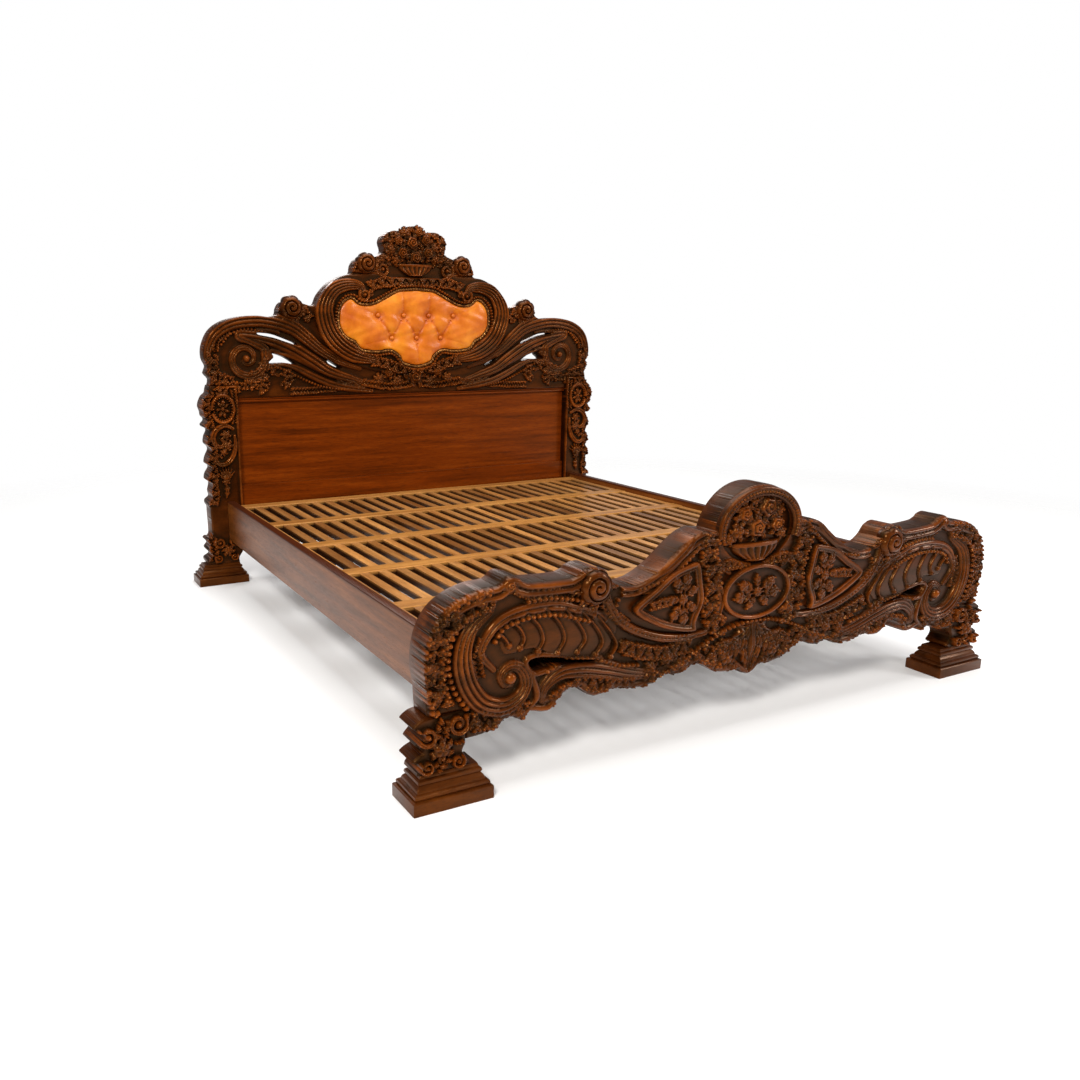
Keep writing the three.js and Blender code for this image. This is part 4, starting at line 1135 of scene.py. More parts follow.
posy(post, 0.858, 0.137, 0.019, 0.017, post_seed, blossom)
finish_carving(post, 0.018, 4)
post_front = float(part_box("headboard_post_left")[1].y) - 0.082
for piece, label in zip(half_width_pieces("carved_post", post, post_front, post_front + 0.082, 0.006),
                        ("left", "right")):
    finish(piece, carved_wood, "carved_wood", f"headboard_post_{label}")

# ---------------------------------------------------------------- headboard crest
# The tall board over the panel, sawn and pierced, and carved with long reeded bands that
# sweep from a great volute at each shoulder in under the padded medallion.

crest_front = 0.995
crest_back = float(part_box("crest_board")[1].y)
panel_top = 0.749
crest_top_edge = np.array([
    [0, 691], [34, 686], [47, 667], [92, 669], [131, 654], [149, 623], [141, 586], [170, 564], [222, 562],
    [256, 552], [277, 523], [285, 493], [327, 481], [382, 452], [426, 405], [447, 366], [484, 366],
    [539, 383], [583, 374], [602, 347], [607, 325], [641, 317], [693, 322], [759, 317], [824, 300],
    [876, 264], [905, 207], [908, 159], [895, 127], [905, 102], [887, 78], [892, 54],
]) / 1000 + (0, panel_top)
crest_openings = [
    smooth_path(np.array(points) / 1000 + (0, panel_top), 0.006, closed=True)[:-1] for points in (
        [[693, 256], [628, 251], [576, 234], [531, 215], [526, 205], [576, 220], [628, 237], [688, 249]],
        [[636, 176], [602, 168], [570, 154], [536, 129], [581, 137], [649, 137], [628, 159]],
        [[400, 147], [374, 134], [340, 111], [366, 117], [398, 134]],
    )
]
crest_outline = np.vstack([
    smooth_path(crest_top_edge, 0.01), [[0.7853, 0.803], [0.7853, 0.7495], [0.0, 0.7495]],
])
crest = cut_board(crest_outline, crest_openings, 0.0024, mirrored=True)
crest_seed = np.random.default_rng(8)
x, z = crest["x"], crest["z"]
plan = crest_drawing
edge_reeds(crest, 0.020, 1, 0.009, (x > 0.60) & (z > 0.86))
band(crest, plan([(35.2, 33.2), (35.4, 36), (34.2, 39.2), (31.5, 41.1), (28, 41.7), (25, 41.4), (22, 40.4),
                  (20, 38.9), (17.5, 36.7), (14.5, 34.9), (11, 33.6)]),
     [0.012, 0.028, 0.034, 0.034, 0.030, 0.022, 0.012], 0.018, 4)
volute_turn = np.linspace(-0.9 * math.pi, 2.3 * math.pi, 30)
volute_size = np.linspace(0.012, 0.088, 30)
volute = np.stack([0.742 + volute_size * np.cos(math.pi * 0.9 - volute_turn),
                   0.905 + volute_size * np.sin(math.pi * 0.9 - volute_turn)], axis=1)
band(crest,
     np.vstack([volute[:28], plan([(30.2, 39.0), (28, 38.9), (25, 38.2), (22, 36.9), (19, 35), (16, 33),
                                          (12, 31.6), (9, 30.6)])]),
     [0.010, 0.014, 0.017, 0.019, 0.020, 0.026, 0.030, 0.028, 0.020, 0.010], 0.020, 3)
berry(crest, 0.742, 0.905, 0.015, 0.022)
foliage(crest, [(0.868, 0.93), (0.878, 0.89), (0.868, 0.845), (0.84, 0.822), (0.80, 0.815)], 0.030, 0.016,
        crest_seed, 4)
foliage(crest, [(0.80, 0.800), (0.74, 0.800), (0.69, 0.815)], 0.018, 0.013, crest_seed, 0)
beads(crest, [(0.842, 0.955), (0.80, 1.000), (0.74, 1.018), (0.68, 1.010), (0.62, 0.985), (0.56, 0.952)],
      0.0068, 0.016)
beads(crest, [(0.66, 0.862), (0.62, 0.868), (0.57, 0.850), (0.50, 0.815), (0.42, 0.785), (0.33, 0.772)],
      0.0062, 0.015)
band(crest, plan([(24.4, 32.6), (25.4, 33.2), (24.6, 34.4), (23, 34.3), (21.2, 33.6), (19, 32.4), (16, 31),
                  (13, 30.2), (9, 29.6)]), [0.008, 0.012, 0.016, 0.018, 0.016, 0.010], 0.015, 2)
band(crest, plan([(27.4, 34.6), (25.2, 36.0), (22.4, 35.7), (20, 34.4), (17.8, 32.9)]),
     [0.005, 0.010, 0.010, 0.005],
     0.012)
foliage(crest, plan([(29.6, 30.6), (28.2, 32.4), (26.2, 33.2), (25.4, 35.2)]), 0.032, 0.015, crest_seed, 4)
foliage(crest, plan([(35.4, 32.2), (33.2, 30.8), (30.8, 30.8)]), 0.028, 0.014, crest_seed, 3)
foliage(crest, plan([(33.9, 36.4), (33.6, 38.2), (31.8, 39.8)]), 0.014, 0.014, crest_seed, 0)
foliage(crest, plan([(20.5, 41.2), (22.2, 42.6), (24.0, 42.4)]), 0.034, 0.014, crest_seed, 3)
foliage(crest, plan([(18.8, 41.4), (20.0, 42.8), (20.4, 44.6)]), 0.026, 0.014, crest_seed, 3)
posy(crest, *plan([(20.3, 43.3)])[0], 0.018, 0.016, crest_seed, blossom)
leaf(crest, plan([(15.6, 32.2), (13.4, 31.2), (10.6, 30.4)]), 0.016, 0.012, 4)
band(crest, plan([(11.6, 49.6), (8.6, 49.6), (6.6, 48.8), (6.2, 47.6), (7.4, 47.2)]),
     [0.006, 0.012, 0.012, 0.006],
     0.014, 2)
foliage(crest, plan([(12.6, 49.8), (11.2, 52.0), (8.8, 52.2), (7.0, 50.8)]), 0.030, 0.014, crest_seed, 3)
foliage(crest, plan([(6.6, 51.2), (6.4, 53.6), (5.4, 55.8), (3.4, 56.9), (1.4, 57.2)]), 0.030, 0.014,
        crest_seed, 3)
foliage(crest, plan([(5.2, 50.4), (4.8, 52.2), (3.6, 53.6), (1.6, 54.6)]), 0.028, 0.010, crest_seed, 0)
band(crest, [(0.0, 1.226), (0.05, 1.226), (0.112, 1.224)], [0.008, 0.008], 0.013)
curl(crest, 0.150, 1.262, 0.036, 0.018, -1)
foliage(crest, [(0.16, 0.80), (0.30, 0.787), (0.44, 0.775), (0.56, 0.772)], 0.017, 0.011, crest_seed, 0)
foliage(crest, [(0.60, 0.79), (0.56, 0.83), (0.60, 0.855)], 0.020, 0.013, crest_seed, 4)
foliage(crest, [(0.685, 0.83), (0.665, 0.80), (0.70, 0.775)], 0.020, 0.012, crest_seed, 3)
finish_carving(crest, 0.022, 4)
for piece, label in zip(half_width_pieces("carved_crest", crest, crest_front, crest_back, 0.007),
                        ("left", "right")):
    finish(piece, carved_wood, "carved_wood", "crest_board", f"crest_volute_{label}")

# ------------------------------------------------------- frame round the padding
# A shaped ring planted on the crest: reeded C-scrolls at the sides, beads along the inner
# edge, and leaves and flowers at top and bottom.

pad_outline_half = np.array([
    [0, 430], [73, 425], [105, 413], [157, 386], [196, 369], [235, 364], [267, 371], [296, 391], [327, 374],
    [345, 342], [348, 293], [337, 264], [314, 239], [283, 225], [269, 207], [249, 190], [183, 183],
    [131, 188], [105, 181], [78, 161], [65, 137], [31, 124], [0, 119],
]) / 1000 + (0, panel_top)
frame_half = np.array([
    [0, 479], [105, 479], [183, 493], [275, 488], [327, 481], [382, 452], [426, 405], [447, 366],
    [453, 317], [439, 264], [408, 210], [356, 161], [288, 127], [209, 102], [105, 88], [0, 85],
]) / 1000 + (0, panel_top)


def grown(loop, distance):
    """A closed outline moved outwards by a distance, along the normals between its neighbours."""
    along = np.roll(loop, -1, axis=0) - np.roll(loop, 1, axis=0)
    out = np.stack([along[:, 1], -along[:, 0]], axis=1) / np.hypot(*along.T)[:, None]
    turned = np.sum(loop[:, 0] * np.roll(loop[:, 1], -1) - loop[:, 1] * np.roll(loop[:, 0], -1))
    return loop + distance * out * (1 if turned > 0 else -1)


def both_halves(half, step):
    """A closed outline from the points of its right half, smoothed at the given step."""
    curve = smooth_path(half, step)
    return np.vstack([curve, (curve * (-1, 1))[::-1][1:-1]])


pad_loop = both_halves(pad_outline_half, 0.006)
opening = grown(pad_loop, 0.0132)
frame_board = new_board(both_halves(frame_half, 0.01), [opening], 0.0022, mirrored=True)
frame_board["edge"] = snap_to_edge(frame_board)
frame_board["height"] -= 0.003
band(frame_board,
     plan([(9.0, 45.9), (10.2, 46.2), (11.0, 47.2), (13.1, 47.3), (15.2, 46.5), (16.4, 44.9), (16.9, 42.6),
                        (16.1, 39.6), (14.4, 37.4), (11.8, 35.8), (8.4, 34.8)]),
     [0.012, 0.024, 0.034, 0.041, 0.041, 0.036, 0.016], 0.020, 5)
curl(frame_board, 0.238, 1.158, 0.030, 0.018, -1)
foliage(frame_board, plan([(1.0, 48.2), (4.0, 48.2), (7.0, 47.8), (9.4, 47.0)]), 0.026, 0.012, crest_seed, 4)
foliage(frame_board, plan([(9.2, 34.9), (6.4, 34.2), (3.4, 32.9), (1.0, 32.5)]), 0.026, 0.012, crest_seed, 4)
bead_loop = grown(pad_loop, 0.0185)
bead_half = bead_loop[(bead_loop[:, 0] > -0.004)]
beads(frame_board, bead_half[::3], 0.0062, 0.015)
finish_carving(frame_board, 0.016, 4)
for piece, label in zip(half_width_pieces("carved_pad_frame", frame_board, crest_front - 0.016,
                                          crest_front + 0.002, 0.004),
                        ("left", "right")):
    finish(piece, carved_wood, "carved_wood", "crest_medallion_frame")

# ----------------------------------------------------- crest basket and garland
# A ribbed bowl of roses is the finial, and a swag of flowers hangs under the medallion.

crest_flowers = [
    (0.000, 1.312, 0.030, rose), (-0.060, 1.330, 0.027, rose), (0.058, 1.332, 0.027, rose),
    (-0.016, 1.372, 0.030, rose), (-0.078, 1.378, 0.022, rose), (0.048, 1.384, 0.026, rose),
    (0.090, 1.352, 0.018, blossom), (-0.106, 1.340, 0.017, blossom), (0.014, 1.414, 0.020, rose),
    (-0.048, 1.410, 0.018, blossom), (0.092, 1.308, 0.016, blossom), (-0.088, 1.300, 0.016, blossom),
]
crest_basket = bowl_of_flowers("carved_crest_basket", 0.0, 1.236, 0.082, 0.050, 0.022, crest_flowers,
                               crest_front - 0.004, 0.0020, crest_seed)
finish(crest_basket, carved_wood, "carved_wood", "crest_basket")

swag = new_board(np.array([[-0.29, 0.752], [0.25, 0.752], [0.25, 0.875], [-0.29, 0.875]]), [], 0.0020)
for x, z, radius, kind in (
    (-0.006, 0.822, 0.036, rose), (-0.132, 0.842, 0.024, rose), (-0.090, 0.800, 0.022, blossom),
    (0.098, 0.842, 0.023, rose), (0.062, 0.796, 0.021, blossom), (0.150, 0.812, 0.018, blossom),
    (-0.176, 0.815, 0.018, blossom), (-0.048, 0.846, 0.017, blossom), (0.045, 0.851, 0.016, blossom),
):
    posy(swag, x, z, radius, 0.020 if kind is rose else 0.016, crest_seed, kind)
foliage(swag, [(0.02, 0.79), (0.09, 0.783), (0.16, 0.79), (0.22, 0.80)], 0.018, 0.013, crest_seed, 0)
foliage(swag, [(-0.03, 0.79), (-0.10, 0.780), (-0.18, 0.788), (-0.25, 0.80)], 0.018, 0.013, crest_seed, 0)
garland = applied_piece("carved_garland", swag, crest_front - 0.004)
finish(garland, carved_wood, "carved_wood", "crest_garland")

# --------------------------------------------------------------- leather padding
# Orange-tan hide over wadding, buttoned through in two rows. The cover is filled by a cloth
# simulation with its edge and its buttons held, and the pleats are pressed in afterwards.

pad_rim = 0.9795
pad_rest = 0.9907
button_places = np.array([
    [-0.177, 1.076], [-0.059, 1.076], [0.059, 1.076], [0.177, 1.076],
    [-0.115, 0.983], [0.0, 0.983], [0.115, 0.983],
])
pad_shape = new_board(grown(pad_loop, -0.001), [], 0.0055)
pad_shape["edge"] = snap_to_edge(pad_shape)
x, z = pad_shape["x"], pad_shape["z"]
to_button = np.min(np.hypot(x[..., None] - button_places[:, 0], z[..., None] - button_places[:, 1]), axis=-1)
rise = np.sqrt(np.clip(1 - (1 - np.clip(pad_shape["edge"][3] / 0.045, 0, 1)) ** 2, 0, 1))
pad_shape["height"] = 0.008 * rise - 0.015 * np.exp(-(to_button / 0.026) ** 2)
finish_carving(pad_shape, 0.02, 1)
pad = carved_piece("tufted_pad_cover", pad_shape, pad_rim, pad_rest, 1e-6)
for old in ("hollow", "custom_normal"):
    pad.data.attributes.remove(pad.data.attributes[old])

cap = 0.015


def read_points(mesh):
    """The corner points of a mesh as one array."""
    points = np.empty(len(mesh.vertices) * 3, np.float32)
    mesh.vertices.foreach_get("co", points)
    return points.reshape(-1, 3)


def fill_with_wadding(piece):
    """Blows the cover up as cloth, with the rim, the back and the buttons pinned, then keeps
    each point within the cap of where it began."""
    start = read_points(piece.data)
    near = np.min(np.hypot(start[:, 0, None] - button_places[:, 0], start[:, 2, None] - button_places[:, 1]),
                  axis=1)
    held = (start[:, 1] > pad_rim - 0.0005) | (near < 0.008)
    pins = piece.vertex_groups.new(name="pins")
    pins.add([int(i) for i in np.nonzero(held)[0]], 1.0, "REPLACE")
    cloth = piece.modifiers.new("cloth", "CLOTH")
    cloth.settings.use_pressure = True
    cloth.settings.uniform_pressure_force = 4.0
    cloth.settings.effector_weights.gravity = 0.0
    cloth.settings.vertex_group_mass = "pins"
    cloth.settings.tension_stiffness = 12.0
    cloth.settings.compression_stiffness = 12.0
    cloth.settings.bending_stiffness = 1.2
    cloth.collision_settings.use_self_collision = False
    for step in range(1, 21):
        bpy.context.scene.frame_set(step)
    filled = read_points(piece.evaluated_get(bpy.context.evaluated_depsgraph_get()).data)
    piece.modifiers.remove(cloth)
    piece.vertex_groups.remove(pins)
    bpy.context.scene.frame_set(1)
    moved = filled - start
    far = np.linalg.norm(moved, axis=1, keepdims=True)
    moved *= cap * np.tanh(far / cap) / np.maximum(far, 1e-9)
    piece.data.vertices.foreach_set("co", np.ascontiguousarray(start + moved, np.float32).ravel())


fill_with_wadding(pad)
smoother = pad.modifiers.new("finer", "SUBSURF")
smoother.levels = smoother.render_levels = 1
cover = bpy.data.meshes.new_from_object(pad.evaluated_get(bpy.context.evaluated_depsgraph_get()))
pad.modifiers.clear()
pad.data = cover

pleats = [(0, 4), (1, 4), (1, 5), (2, 5), (2, 6), (3, 6)]
pleat_lines = [(button_places[a], button_places[b], 0.0062) for a, b in pleats] + [
    (button_places[1], np.array([-0.064, 1.165]), 0.0045), (button_places[2], np.array([0.062, 1.165]),
                                                            0.0045),
    (button_places[5], np.array([0.005, 0.885]), 0.0045), (button_places[0], np.array([-0.30, 1.12]), 0.0020),
    (button_places[3], np.array([0.30, 1.12]), 0.0020), (button_places[4], np.array([-0.25, 0.955]), 0.0020),
    (button_places[6], np.array([0.25, 0.955]), 0.0020),
]
points = read_points(cover)
sunk = np.zeros(len(points))
for a, b, depth in pleat_lines:
    along = b - a
    t = np.clip(((points[:, [0, 2]] - a) @ along) / (along @ along), 0, 1)
    away = np.hypot(*(points[:, [0, 2]] - a - t[:, None] * along).T)
    fade = 0.5 + 0.5 * np.abs(2 * t - 1) if depth > 0.006 else 1 - 0.75 * t
    sunk = np.maximum(sunk, depth * fade * np.exp(-np.abs(away / 0.0058) ** 1.4))
wander = 0.0011 * np.sin(points[:, 0] * 61 + 3 * np.sin(points[:, 2] * 47)) * np.sin(points[:, 2] * 53 + 1.3)
front_points = points[:, 1] < pad_rim - 0.002
points[:, 1] += np.where(front_points, sunk + wander, 0)
cover.vertices.foreach_set("co", np.ascontiguousarray(points, np.float32).ravel())
near_button = np.min(np.hypot(points[:, 0, None] - button_places[:, 0],
                              points[:, 2, None] - button_places[:, 1]),
                     axis=1)
# Painted shade: a share for darkening the leather along the sunk pleats and round the buttons.
leather_shade_share = np.clip(np.maximum(sunk / 0.0075, np.exp(-(near_button / 0.016) ** 2)), 0, 1).astype(np.float32)
cover.attributes.new("painted_leather_shade", "FLOAT", "POINT").data.foreach_set("value", leather_shade_share)
cover.polygons.foreach_set("use_smooth", np.ones(len(cover.polygons), bool))


def hide(name, deep, body, bright):
    """Glazed leather: a cloudy dye, fine pebbled grain, a few soft creases in the bump, and painted shade
    darkening the pleats and the leather round the buttons.
    """
    material = bpy.data.materials.new(name)
    material.use_nodes = True
    nodes, links, shader = shader_of(material)
    cloud = grain(nodes, links, (1, 1, 1), 9.0, 5.0, 0.55)
    dye = ramp(nodes, [(0.30, deep), (0.5, body), (0.70, bright)])
    links.new(cloud.outputs["Fac"], dye.inputs["Fac"])
    leather_shade_node = nodes.new("ShaderNodeAttribute")
    leather_shade_node.attribute_name = "painted_leather_shade"
    # Painted shade: darkens the leather colour where the share is high.
    shade = ramp(nodes, [(0.0, (1, 1, 1, 1)), (0.5, (0.8, 0.62, 0.45, 1)), (1.0, (0.5, 0.3, 0.18, 1))])
    links.new(leather_shade_node.outputs["Fac"], shade.inputs["Fac"])
    links.new(mix_colours(nodes, links, 1.0, dye.outputs["Color"], shade.outputs["Color"], "MULTIPLY"),
              shader.inputs["Base Color"])
    place = nodes.new("ShaderNodeTexCoord")
    pebble = nodes.new("ShaderNodeTexVoronoi")
    pebble.inputs["Scale"].default_value = 420.0
    links.new(place.outputs["Object"], pebble.inputs["Vector"])
    crease = grain(nodes, links, (1, 1, 1), 26.0, 6.0, 0.6)
    first = add_bump(nodes, links, shader, crease.outputs["Fac"], 0.2, 0.003)
    second = nodes.new("ShaderNodeBump")
    second.inputs["Strength"].default_value = 0.25
    second.inputs["Distance"].default_value = 0.0004
    links.new(pebble.outputs["Distance"], second.inputs["Height"])
    links.new(first.outputs["Normal"], second.inputs["Normal"])
    links.new(second.outputs["Normal"], shader.inputs["Normal"])
    sheen = ramp(nodes, [(0.3, (0.30, 0.30, 0.30, 1)), (0.7, (0.46, 0.46, 0.46, 1))])
    links.new(crease.outputs["Fac"], sheen.inputs["Fac"])
    links.new(sheen.outputs["Color"], shader.inputs["Roughness"])
    shader.inputs["Coat Weight"].default_value = 0.12
    shader.inputs["Coat Roughness"].default_value = 0.2
    shader.inputs["Specular IOR Level"].default_value = 0.3
    return material


orange_hide = hide("orange_hide", from_hex("b14f02"), from_hex("cd6b0a"), from_hex("e58c1e"))
finish(pad, orange_hide, "pad_leather", "tufted_pad")


def dome_grid(radius, height, rings, count):
    """Rings of points over a dome: height x cos, radius x sin of the angle from its top."""
    angle, turn = np.meshgrid(np.linspace(0.15, math.pi / 2, rings), np.arange(count) * 2 * math.pi / count,
                              indexing="ij")
    points = np.stack([radius * np.sin(angle) * np.cos(turn), -height * np.cos(angle),
                       radius * np.sin(angle) * np.sin(turn)], axis=-1).reshape(-1, 3)
    step = np.arange(rings - 1)[:, None] * count + np.arange(count)[None, :]
    ahead = np.arange(rings - 1)[:, None] * count + (np.arange(count)[None, :] + 1) % count
    faces = np.stack([step, ahead, ahead + count, step + count], axis=-1).reshape(-1, 4)
    return points, faces


def close_shell(piece):
    """Fills what is open at the top and bottom of a turned piece and points its faces out."""
    shell = bmesh.new()
    shell.from_mesh(piece.data)
    bmesh.ops.holes_fill(shell, edges=[edge for edge in shell.edges if edge.is_boundary], sides=0)
    bmesh.ops.recalc_face_normals(shell, faces=shell.faces)
    shell.to_mesh(piece.data)
    shell.free()


for number, (x, z) in enumerate(button_places, start=1):
    points, faces = dome_grid(0.0095, 0.0062, 9, 28)
    button = put_mesh(f"covered_button_{number}", points + (x, pad_rim + 0.0025, z), faces)
    close_shell(button)
    # Painted shade: each button is darkened a little, as if sitting in its dent.
    stretch = np.full(len(button.data.vertices), 0.38, np.float32)
    button.data.attributes.new("painted_leather_shade", "FLOAT", "POINT").data.foreach_set("value", stretch)
    finish(button, orange_hide, "pad_leather", f"tuft_button_{number}")

# -------------------------------------------------------------- nailed border
# A narrow bronze strip holds the edge of the leather, with a row of domed nails along it.

strip_path = grown(pad_loop, 0.0065)
strip_run = smooth_path(strip_path, 0.006, closed=True)[:-1]
section_turn = np.linspace(0, math.pi, 9)
strip_out = np.cos(section_turn) * 0.0060
strip_up = np.sin(section_turn) * 0.0035
rings = [grown(strip_run, out) for out in strip_out]
strip_points = np.stack([np.stack([ring[:, 0], np.full(len(ring), 0.981 - up), ring[:, 1]], axis=1)
                         for ring, up in zip(rings, strip_up)], axis=0)
strip_points = np.concatenate([strip_points[:1] + (0, 0.009, 0), strip_points,
                               strip_points[-1:] + (0, 0.009, 0)])
count = strip_points.shape[1]
step = np.arange(len(strip_points))[:, None] * count + np.arange(count)[None, :]
following = np.roll(step, -1, axis=1)
faces = np.stack([step, following, np.roll(following, -1, axis=0), np.roll(step, -1, axis=0)], axis=-1)
strip = put_mesh("nail_border", strip_points.reshape(-1, 3), faces.reshape(-1, 4))
close_shell(strip)

bronze = bpy.data.materials.new("dark_bronze")
bronze.use_nodes = True
nodes, links, shader = shader_of(bronze)
tarnish = grain(nodes, links, (1, 1, 1), 60.0, 5.0)
tone = ramp(nodes, [(0.35, from_hex("4a2c12")), (0.55, from_hex("8c5c2c")), (0.75, from_hex("c08c4c"))])
links.new(tarnish.outputs["Fac"], tone.inputs["Fac"])
links.new(tone.outputs["Color"], shader.inputs["Base Color"])
polish = ramp(nodes, [(0.3, (0.5, 0.5, 0.5, 1)), (0.7, (0.22, 0.22, 0.22, 1))])
links.new(tarnish.outputs["Fac"], polish.inputs["Fac"])
links.new(polish.outputs["Color"], shader.inputs["Roughness"])
shader.inputs["Metallic"].default_value = 0.85
add_bump(nodes, links, shader, tarnish.outputs["Fac"], 0.2, 0.0004)
finish(strip, bronze, "nail_metal", "nail_trim")

lengths = np.hypot(*(np.roll(strip_run, -1, axis=0) - strip_run).T)
run = np.concatenate([[0], np.cumsum(lengths)])
closed_run = np.vstack([strip_run, strip_run[:1]])
nail_count = int(run[-1] / 0.0150)
places = np.arange(nail_count) * run[-1] / nail_count
nail_x = np.interp(places, run, closed_run[:, 0])
nail_z = np.interp(places, run, closed_run[:, 1])
dome_points, dome_faces = dome_grid(0.0058, 0.0048, 4, 10)
centres = np.stack([nail_x, np.full(nail_count, 0.9785), nail_z], axis=1)
points = (dome_points[None] + centres[:, None]).reshape(-1, 3)
faces = (dome_faces[None] + np.arange(nail_count)[:, None, None] * len(dome_points)).reshape(-1, 4)
nails = put_mesh("nail_heads", points, faces)
close_shell(nails)
finish(nails, bronze, "nail_metal", "nail_trim")

# ------------------------------------------------------- headboard panel
# One wide board of figured wood behind the frame, a moulded bead under the crest, and a
# bottom rail. The panel and the rail keep their sawn shape and take the panel finish.

panel_wood = lacquered_wood(
    "panel_wood", from_hex("4c1b02"), from_hex("692903"), from_hex("7c3607"), (0.8, 14, 14), streak=0.7,
)


def refinish(material, *nodes):
    """Gives CAD nodes their finish."""
    for node in nodes:
        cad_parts[node].material_slots[0].material = material


refinish(panel_wood, "headboard_panel", "headboard_lower_rail")


def planed_length(name, section, axis, start, end, material, slot, node, sharp=30):
    """A closed section carried straight along an axis, 0 for across the bed and 1 along it. The
    section's points are across the axis and up."""
    section = np.asarray(section, float)
    places = np.linspace(start, end, 2)
    count = len(section)
    along = np.repeat(places, count)
    across = np.tile(section[:, 0], 2)
    up = np.tile(section[:, 1], 2)
    points = np.stack([along, across, up] if axis == 0 else [across, along, up], axis=1)
    step = np.arange(count)
    faces = np.stack([step, np.roll(step, -1), np.roll(step, -1) + count, step + count], axis=1)
    piece = put_mesh(name, points, faces)
    close_shell(piece)
    piece.data.set_sharp_from_angle(angle=math.radians(sharp))
    if node:
        finish(piece, material, slot, node)
    return piece


def rounded_box_section(low, high, radius, steps=3):
    """A rectangle in section with a quarter circle at each corner."""
    turn = np.linspace(0, math.pi / 2, steps + 1)
    parts = []
    for quarter, (sx, sz) in enumerate(((1, 1), (-1, 1), (-1, -1), (1, -1))):
        angle = turn + quarter * math.pi / 2
        parts.append(np.stack([np.where(sx > 0, high[0] - radius, low[0] + radius) + radius * np.cos(angle),
                               np.where(sz > 0, high[1] - radius, low[1] + radius) + radius * np.sin(angle)],
                              axis=1))
    return np.vstack(parts)


low, high = (np.array(corner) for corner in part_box("panel_top_moulding"))
moulding_turn = np.linspace(0, math.pi, 9)
moulding = np.vstack([
    [[high[1], low[2]]],
    np.stack([low[1] + 0.004 - 0.004 * np.sin(moulding_turn),
              low[2] + 0.0045 * (1 - np.cos(moulding_turn))], axis=1),
    [[low[1] + 0.006, low[2] + 0.0095], [low[1], high[2] - 0.004], [low[1], high[2]], [high[1], high[2]]],
])
planed_length("panel_top_bead", moulding, 0, low[0], high[0], panel_wood, "panel_wood", "panel_top_moulding")

# ------------------------------------------------------------- side rails
# Deep planks from footboard to headboard, their edges eased by hand, paler on the face than
# on the stained top edge. A ledger is screwed inside each, and steel plates hook the ends.


def rail_finish(name):
    """The stained wood of the rails, darker above a wavering line just under the top edge."""
    material = lacquered_wood(name, from_hex("462409"), from_hex("653612"), from_hex("7e491c"), (9, 0.8, 12))
    nodes, links, shader = shader_of(material)
    place = nodes.new("ShaderNodeTexCoord")
    axes = nodes.new("ShaderNodeSeparateXYZ")
    links.new(place.outputs["Object"], axes.inputs["Vector"])
    rub = grain(nodes, links, (3, 1, 3), 4.0, 6.0)
    jitter = nodes.new("ShaderNodeMath")
    jitter.operation = "MULTIPLY_ADD"
    links.new(rub.outputs["Fac"], jitter.inputs[0])
    jitter.inputs[1].default_value = 0.012
    links.new(axes.outputs["Z"], jitter.inputs[2])
    edge = ramp(nodes, [(0.338, (0, 0, 0, 1)), (0.343, (1, 1, 1, 1))])
    links.new(jitter.outputs[0], edge.inputs["Fac"])
    before = shader.inputs["Base Color"].links[0].from_socket
    stained = mix_colours(nodes, links, edge.outputs["Color"], before, from_hex("3a180a"))
    links.new(stained, shader.inputs["Base Color"])
    shader.inputs["Coat Weight"].default_value = 0.05
    shader.inputs["Coat Roughness"].default_value = 0.3
    return material


rail_wood = rail_finish("rail_wood")
ledger_wood = lacquered_wood("ledger_wood", from_hex("7a5a38"), from_hex("97724a"), from_hex("b08c60"),
                             (9, 0.8, 12))
for label in ("left", "right"):
    for kind, radius, material in (("side_rail", 0.004, rail_wood), ("ledger", 0.002, ledger_wood)):
        low, high = (np.array(corner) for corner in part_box(f"{kind}_{label}"))
        section = rounded_box_section(low[[0, 2]], high[[0, 2]], radius)
        planed_length(f"{kind}_{label}_plank", section, 1, low[1], high[1], material, "rail_wood",
                      f"{kind}_{label}")

steel = bpy.data.materials.new("zinc_steel")
steel.use_nodes = True
nodes, links, shader = shader_of(steel)
brush = grain(nodes, links, (1, 1, 30), 30.0, 6.0)
tone = ramp(nodes, [(0.3, from_hex("6b6d70")), (0.7, from_hex("a4a7aa"))])
links.new(brush.outputs["Fac"], tone.inputs["Fac"])
links.new(tone.outputs["Color"], shader.inputs["Base Color"])
polish = ramp(nodes, [(0.3, (0.5, 0.5, 0.5, 1)), (0.7, (0.3, 0.3, 0.3, 1))])
links.new(brush.outputs["Fac"], polish.inputs["Fac"])
links.new(polish.outputs["Color"], shader.inputs["Roughness"])
shader.inputs["Metallic"].default_value = 1.0
add_bump(nodes, links, shader, brush.outputs["Fac"], 0.15, 0.0003)
refinish(steel, *[f"hook_plate_{end}_{label}" for end in ("foot", "head") for label in ("left", "right")])

# --------------------------------------------------------------------- slatted deck
# Six beams lie across the bed with a ledge on each side, and between each pair twenty-eight
# planed slats run along the bed, nailed down to a cleat at both ends.


